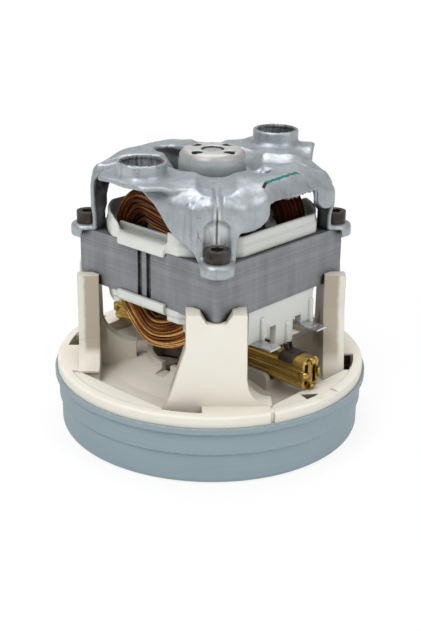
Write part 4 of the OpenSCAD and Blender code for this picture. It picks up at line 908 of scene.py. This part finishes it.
def holder_tabs(name, node, side):
    """Folded ends of a brass holder: four strips that leave its walls along X and turn in over its end.

    A strip's middle runs straight, round an arc and straight again; a small rectangle is carried along it.
    """
    low, high = (np.array(corner)/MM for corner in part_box(node))
    end = high[0] if side > 0 else -low[0]
    middle, half = (low + high)/2, (high - low)/2
    turn = np.concatenate([[0.0], np.linspace(0, TAB_TURN, 9), [TAB_TURN]])
    straight = np.array([0.0]*10 + [TAB_TIP])
    away = TAB_PROUD + TAB_BEND*np.sin(turn) + straight*np.cos(turn)
    away[0] -= TAB_ROOT
    inward = TAB_BEND*(1 - np.cos(turn)) + straight*np.sin(turn)
    grids = []
    walls = [((0, 1, 0), (0, 0, 1), half[1], TAB_SIDE_WIDE), ((0, -1, 0), (0, 0, 1), half[1], TAB_SIDE_WIDE),
             ((0, 0, 1), (0, 1, 0), half[2], TAB_TOP_WIDE), ((0, 0, -1), (0, 1, 0), half[2], TAB_TOP_WIDE)]
    for out, across, reach, wide in walls:
        out, across, ahead = np.array(out, float), np.array(across, float), np.array([side, 0.0, 0.0])
        centre = np.array([0.0, middle[1], middle[2]]) + out*(reach + TAB_GAP)
        path = centre + (end + away)[:, None]*ahead - inward[:, None]*out
        skin = np.cos(turn)[:, None]*out + np.sin(turn)[:, None]*ahead
        corners = [(-1, 0), (-1, -1), (0, -1), (1, -1), (1, 0), (0, 0)]
        ring = np.stack([path + 0.5*wide*a*across + TAB_THICK*b*skin for a, b in corners], 1)
        flip = np.dot(np.cross(ahead, across), out) > 0
        grids.append((ring[:, ::-1] if flip else ring, 0.5))
    return make_piece(name, grids, "frame", "holder_brass")


def collar_burr(name, y, seed):
    """Torn inner lip of a drawn collar: a thin ring whose top edge and thickness vary with the angle."""
    draw = np.random.default_rng(seed)
    steps = 220
    angle = np.arange(steps)/steps*TAU
    ragged = np.abs(draw.standard_normal(steps))
    ragged = np.convolve(np.concatenate([ragged, ragged[:4]]), np.ones(5)/5, "valid")
    inner = COLLAR_BORE_R - 0.12 - 0.30*ragged
    top = COLLAR_TOP - 0.15 - 0.28*np.abs(draw.standard_normal(steps))
    outer = np.full(steps, COLLAR_BORE_R - 0.005)
    low = np.full(steps, COLLAR_TOP - 2.0)
    profile = [(outer, low), (inner + 0.1, low + 0.3), (inner, top - 0.5), (inner + 0.04, top),
               (outer, top + 0.1)]
    skin = np.stack([np.stack([r*np.cos(angle), y + r*np.sin(angle), z], -1) for r, z in profile], 1)
    return make_piece(name, [(skin, 0.5)], "frame", "zinc_sheet", closed_rows=True)


# Sizes of the small faces of the softened copies
BRACKET_GRAIN = 0.6
INSULATOR_GRAIN = 0.55
# Pressed bracket: falls of the plate to the front, right, rear and left legs
LEG_FALLS = {(1, -1): 2.0, (1, 1): 4.6, (-1, 1): 3.4, (-1, -1): 2.0}
# Swell beside a leg's middle, crease along it and fill of the trough: heights, then places and half widths
SWELL, SWELL_OFF, SWELL_HALF = 1.5, 9.5, 3.2
CREASE, CREASE_HALF = 0.8, 0.9
FILL, FILL_HALF, FILL_GAP = 1.7, 4.5, 1.3
# Dome's round edge: centre of its arc, and how far its middle is drawn out
DOME_ARC_R = 9.0
DOME_ARC_Z = 114.9
DOME_TIGHTEN = 0.48
# Collar rims: half width of the worn band; depth and raggedness of the wear in front and behind
RIM_BAND = 1.2
FRONT_WEAR = (0.40, 0.10)
REAR_WEAR = (0.25, 0.04)


def ease(value, low, high):
    """Share of the way from low to high as a cubic step, 3 t t - 2 t t t."""
    t = np.clip((value - low)/(high - low), 0, 1)
    return t*t*(3 - 2*t)


def bell(value, half):
    """Bell curve: e to the minus square of the value over its half width."""
    return np.exp(-(value/half)**2)


def even_copy(node, size):
    """Copy of a solid's mesh, joined, cut evenly into small faces and smoothed so that its edges are soft."""
    rough = new_object("rough_copy", cad[node].data.copy())
    rough.modifiers.new("join", "WELD").merge_threshold = 0.001*MM
    even = rough.modifiers.new("even", "REMESH")
    even.mode = "VOXEL"
    even.voxel_size = size*MM
    soft = rough.modifiers.new("soft", "SMOOTH")
    soft.factor, soft.iterations = 0.5, 3
    mesh = bpy.data.meshes.new_from_object(rough.evaluated_get(bpy.context.evaluated_depsgraph_get()))
    spare = rough.data
    bpy.data.objects.remove(rough)
    bpy.data.meshes.remove(spare)
    return mesh


def pressed_bracket(name):
    """Bracket as the press leaves it: its solid with soft edges, moved by these shifts.

    s runs out along a leg's diagonal and a across it. The plate falls to each leg as a cubic step of s.
    Beside the leg's middle two bells of a swell outwards along s, a narrow bell draws a crease in, and
    a bell with that crease left out fills the trough where it meets the bend.
    The dome's round edge grows by a share of its angle's doubled sine, which draws it tighter. Slow sines
    wave the whole sheet, and the collars' rims are worn by sums of quick sines of the angle.
    """
    mesh = even_copy("top_bracket", BRACKET_GRAIN)
    flat = np.empty(3*len(mesh.vertices), dtype=np.float32)
    mesh.vertices.foreach_get("co", flat)
    point = flat.reshape(-1, 3).astype(float)/MM
    x, y, z = point.T
    s = (np.abs(x) + np.abs(y))/np.sqrt(2)
    a = (np.abs(x) - np.abs(y))/np.sqrt(2)
    leg = 1 - ease(np.abs(a), 12, 22)
    fall = sum(drop*(np.sign(x) == way_x)*(np.sign(y) == way_y) for (way_x, way_y), drop in LEG_FALLS.items())
    down = fall*leg*ease(s, 32, 47)*ease(z, 94, 110)
    swell = SWELL*bell(np.abs(a) - SWELL_OFF, SWELL_HALF)*ease(s, 42, 46)
    swell = swell*ease(z, 92, 98)*(1 - ease(z, 110, 115))
    crease = CREASE*bell(a, CREASE_HALF)*ease(s, 40, 44)*ease(z, 93, 97)
    fill = FILL*bell(a, FILL_HALF)*(1 - bell(a, FILL_GAP))*ease(s, 35, 40)*ease(z, 106, 110)
    out = (swell - crease)/np.sqrt(2)
    reach = np.hypot(x, y)
    arc = np.clip(np.arctan2(z - DOME_ARC_Z, reach - DOME_ARC_R), 0, np.pi/2)
    tight = DOME_TIGHTEN*np.sin(2*arc)**1.5*(reach < 1.5*DOME_ARC_R)
    radial = tight*np.cos(arc)/np.maximum(reach, 1.0)
    wave = (0.16*np.sin(0.31*x + 0.17*y + 1.0) + 0.14*np.sin(0.23*y - 0.29*x + 0.11*z)
            + 0.10*np.sin(0.47*x + 0.41*y))
    plate = ease(z, 104, 112)*ease(reach, 16, 22)
    turn = np.arctan2(np.abs(y) - COLLAR_Y, x)
    near = bell(np.hypot(x, np.abs(y) - COLLAR_Y) - COLLAR_BORE_R - RIM_BAND/2, RIM_BAND)
    ragged = np.sin(17*turn + 1) + np.sin(31*turn) + np.sin(47*turn + 2) + np.sin(61*turn + 4)
    worn = np.where(y < 0, FRONT_WEAR[0] + FRONT_WEAR[1]*ragged, REAR_WEAR[0] + REAR_WEAR[1]*ragged)
    worn = worn*near*ease(z, COLLAR_TOP - 1.5, COLLAR_TOP - 0.3)
    height = z - down + fill + wave*plate*(1 - near) + tight*np.sin(arc) - worn
    moved = np.stack([x + np.sign(x)*out + radial*x, y + np.sign(y)*out + radial*y,
                      np.minimum(height, COLLAR_TOP)], -1)
    mesh.vertices.foreach_set("co", (moved*MM).astype(np.float32).ravel())
    return place_piece(name, mesh, "frame", "zinc_sheet")


# Skirts beside the brushes: outer face, lower edge, half length and the sheet's thickness
SKIRT_X = 44.0
SKIRT_EDGE = 108.8
SKIRT_HALF = 16.2
SHEET = 1.8


def skirt_tear(name, side, seed):
    """Torn lower edge of a skirt: a strip along Y whose lower edge hangs by a random walk and thins out."""
    draw = np.random.default_rng(seed)
    steps, window = 90, 9
    y = np.linspace(-SKIRT_HALF, SKIRT_HALF, steps)
    walk = np.convolve(draw.standard_normal(steps + window - 1), np.ones(window)/window, "valid")
    walk = walk + 0.25*draw.standard_normal(steps)
    ends = np.clip((SKIRT_HALF - np.abs(y))/2.0, 0, 1)
    hang = ends*np.clip(0.9 + 1.3*walk, 0.08, 2.6) + 0.05
    lean = 0.25*walk*ends
    outline = [(-0.02, 0.5), (-0.02, 0.0), (-0.25, -0.6), (-0.6, -1.0), (-1.15, -1.0), (-1.6, -0.5),
               (-SHEET + 0.02, 0.0), (-SHEET + 0.02, 0.5)]
    below = [z < 0 for x, z in outline]
    rows = [np.stack([side*(SKIRT_X + x + low*np.minimum(lean, 0.0)), side*y,
                      SKIRT_EDGE + z*np.where(low, hang, 1.0)], -1)
            for (x, z), low in zip(outline, below)]
    return make_piece(name, [(np.stack(rows, 1), 0.5)], "frame", "zinc_sheet")


def dress_pieces():
    """Puts finer forms in place of their solids and adds the folded and torn edges."""
    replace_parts(field_winding("field_winding_front", 1, 11), "field_coil_front", "field_core_front")
    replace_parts(field_winding("field_winding_rear", -1, 23), "field_coil_rear", "field_core_rear")
    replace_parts(armature_turns("armature_turns", 5), "armature_winding")
    for side, name in ((1, "right"), (-1, "left")):
        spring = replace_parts(brush_spring("spring_turns_" + name, side), "brush_spring_" + name)
        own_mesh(spring)
        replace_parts(braid_end("braid_end_" + name, side), "brush_lead_" + name)
    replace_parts(pressed_bracket("pressed_bracket"), "top_bracket")
    soft = even_copy("upper_insulator", INSULATOR_GRAIN)
    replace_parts(place_piece("soft_insulator", soft, "frame", "white_plastic"), "upper_insulator")
    for name, side in (("right", 1), ("left", -1)):
        holder_tabs("holder_tabs_" + name, "brush_holder_" + name, side)
    collar_burr("collar_burr_front", -COLLAR_Y, 3)
    collar_burr("collar_burr_rear", COLLAR_Y, 4)
    skirt_tear("skirt_tear_right", 1, 7)
    skirt_tear("skirt_tear_left", -1, 8)


# Stage: distances in metres between which the floor turns to plain white
LIT_RANGE = (0.12, 0.45)
WHITE = (1.0, 1.0, 1.0, 1.0)


def stage_material(name, rgb, lit):
    """Pale stage: white to camera, glossy and clear rays by a share that grows to one away from the middle.

    To light it is plain diffuse.
    """
    made = bpy.data.materials.new(name)
    made.use_nodes = True
    tree = made.node_tree
    tree.nodes.clear()
    path = add(tree, "ShaderNodeLightPath").outputs
    seen = maths(tree, "MAXIMUM", path["Is Camera Ray"],
                 maths(tree, "MAXIMUM", path["Is Glossy Ray"], path["Is Transmission Ray"]))
    plain = add(tree, "ShaderNodeBsdfDiffuse", {"Color": colour(rgb)}).outputs[0]
    white = add(tree, "ShaderNodeEmission", {"Color": WHITE, "Strength": 1.0}).outputs[0]
    away = add(tree, "ShaderNodeVectorMath", {0: object_point(tree)}, operation="LENGTH").outputs["Value"]
    share = times(tree, seen, spread(tree, away, *LIT_RANGE, lit, 1.0))
    both = add(tree, "ShaderNodeMixShader", {0: share, 1: plain, 2: white}).outputs[0]
    add(tree, "ShaderNodeOutputMaterial", {"Surface": both})
    return made


def place_stage():
    """Wide floor just under the drum and a world that is white to the camera."""
    mesh = bpy.data.meshes.new("floor")
    reach, low = 6.0, -0.0004
    mesh.from_pydata([(-reach, -reach, low), (reach, -reach, low), (reach, reach, low), (-reach, reach, low)],
                     [], [(0, 1, 2, 3)])
    floor = new_object("floor", mesh)
    mesh.materials.append(stage_material("pale_floor", (0.85, 0.85, 0.85), 0.86))
    world = bpy.data.worlds.new("studio")
    scene.world = world
    world.use_nodes = True
    tree = world.node_tree
    tree.nodes.clear()
    path = add(tree, "ShaderNodeLightPath").outputs
    seen = maths(tree, "MAXIMUM", path["Is Camera Ray"], path["Is Transmission Ray"])
    soft, white = (add(tree, "ShaderNodeBackground", {"Color": WHITE, "Strength": power}).outputs[0]
                   for power in (0.42, 1.0))
    both = add(tree, "ShaderNodeMixShader", {0: seen, 1: soft, 2: white}).outputs[0]
    add(tree, "ShaderNodeOutputWorld", {"Surface": both})


def place_lamp(name, spot, aim, size, watts):
    """Square soft lamp at a spot, turned to face a point."""
    data = bpy.data.lights.new(name, "AREA")
    data.shape = "SQUARE"
    data.size = size
    data.energy = watts
    back = unit(np.array(spot) - np.array(aim))
    right = unit(np.cross((0.0, 0.0, 1.0), back))
    stand(new_object(name, data), right, np.cross(back, right), back, spot)


scene.view_settings.view_transform = "Standard"
place_camera()
place_stage()
AIM = (0.0, 0.0, 0.06)
place_lamp("key_lamp", (0.12, -1.05, 1.35), AIM, 0.9, 15.0)
place_lamp("fill_lamp", (1.20, 0.10, 0.95), AIM, 0.9, 6.3)
place_lamp("top_lamp", (-0.35, 0.25, 1.45), AIM, 1.0, 11.0)
dress_cad()
dress_pieces()
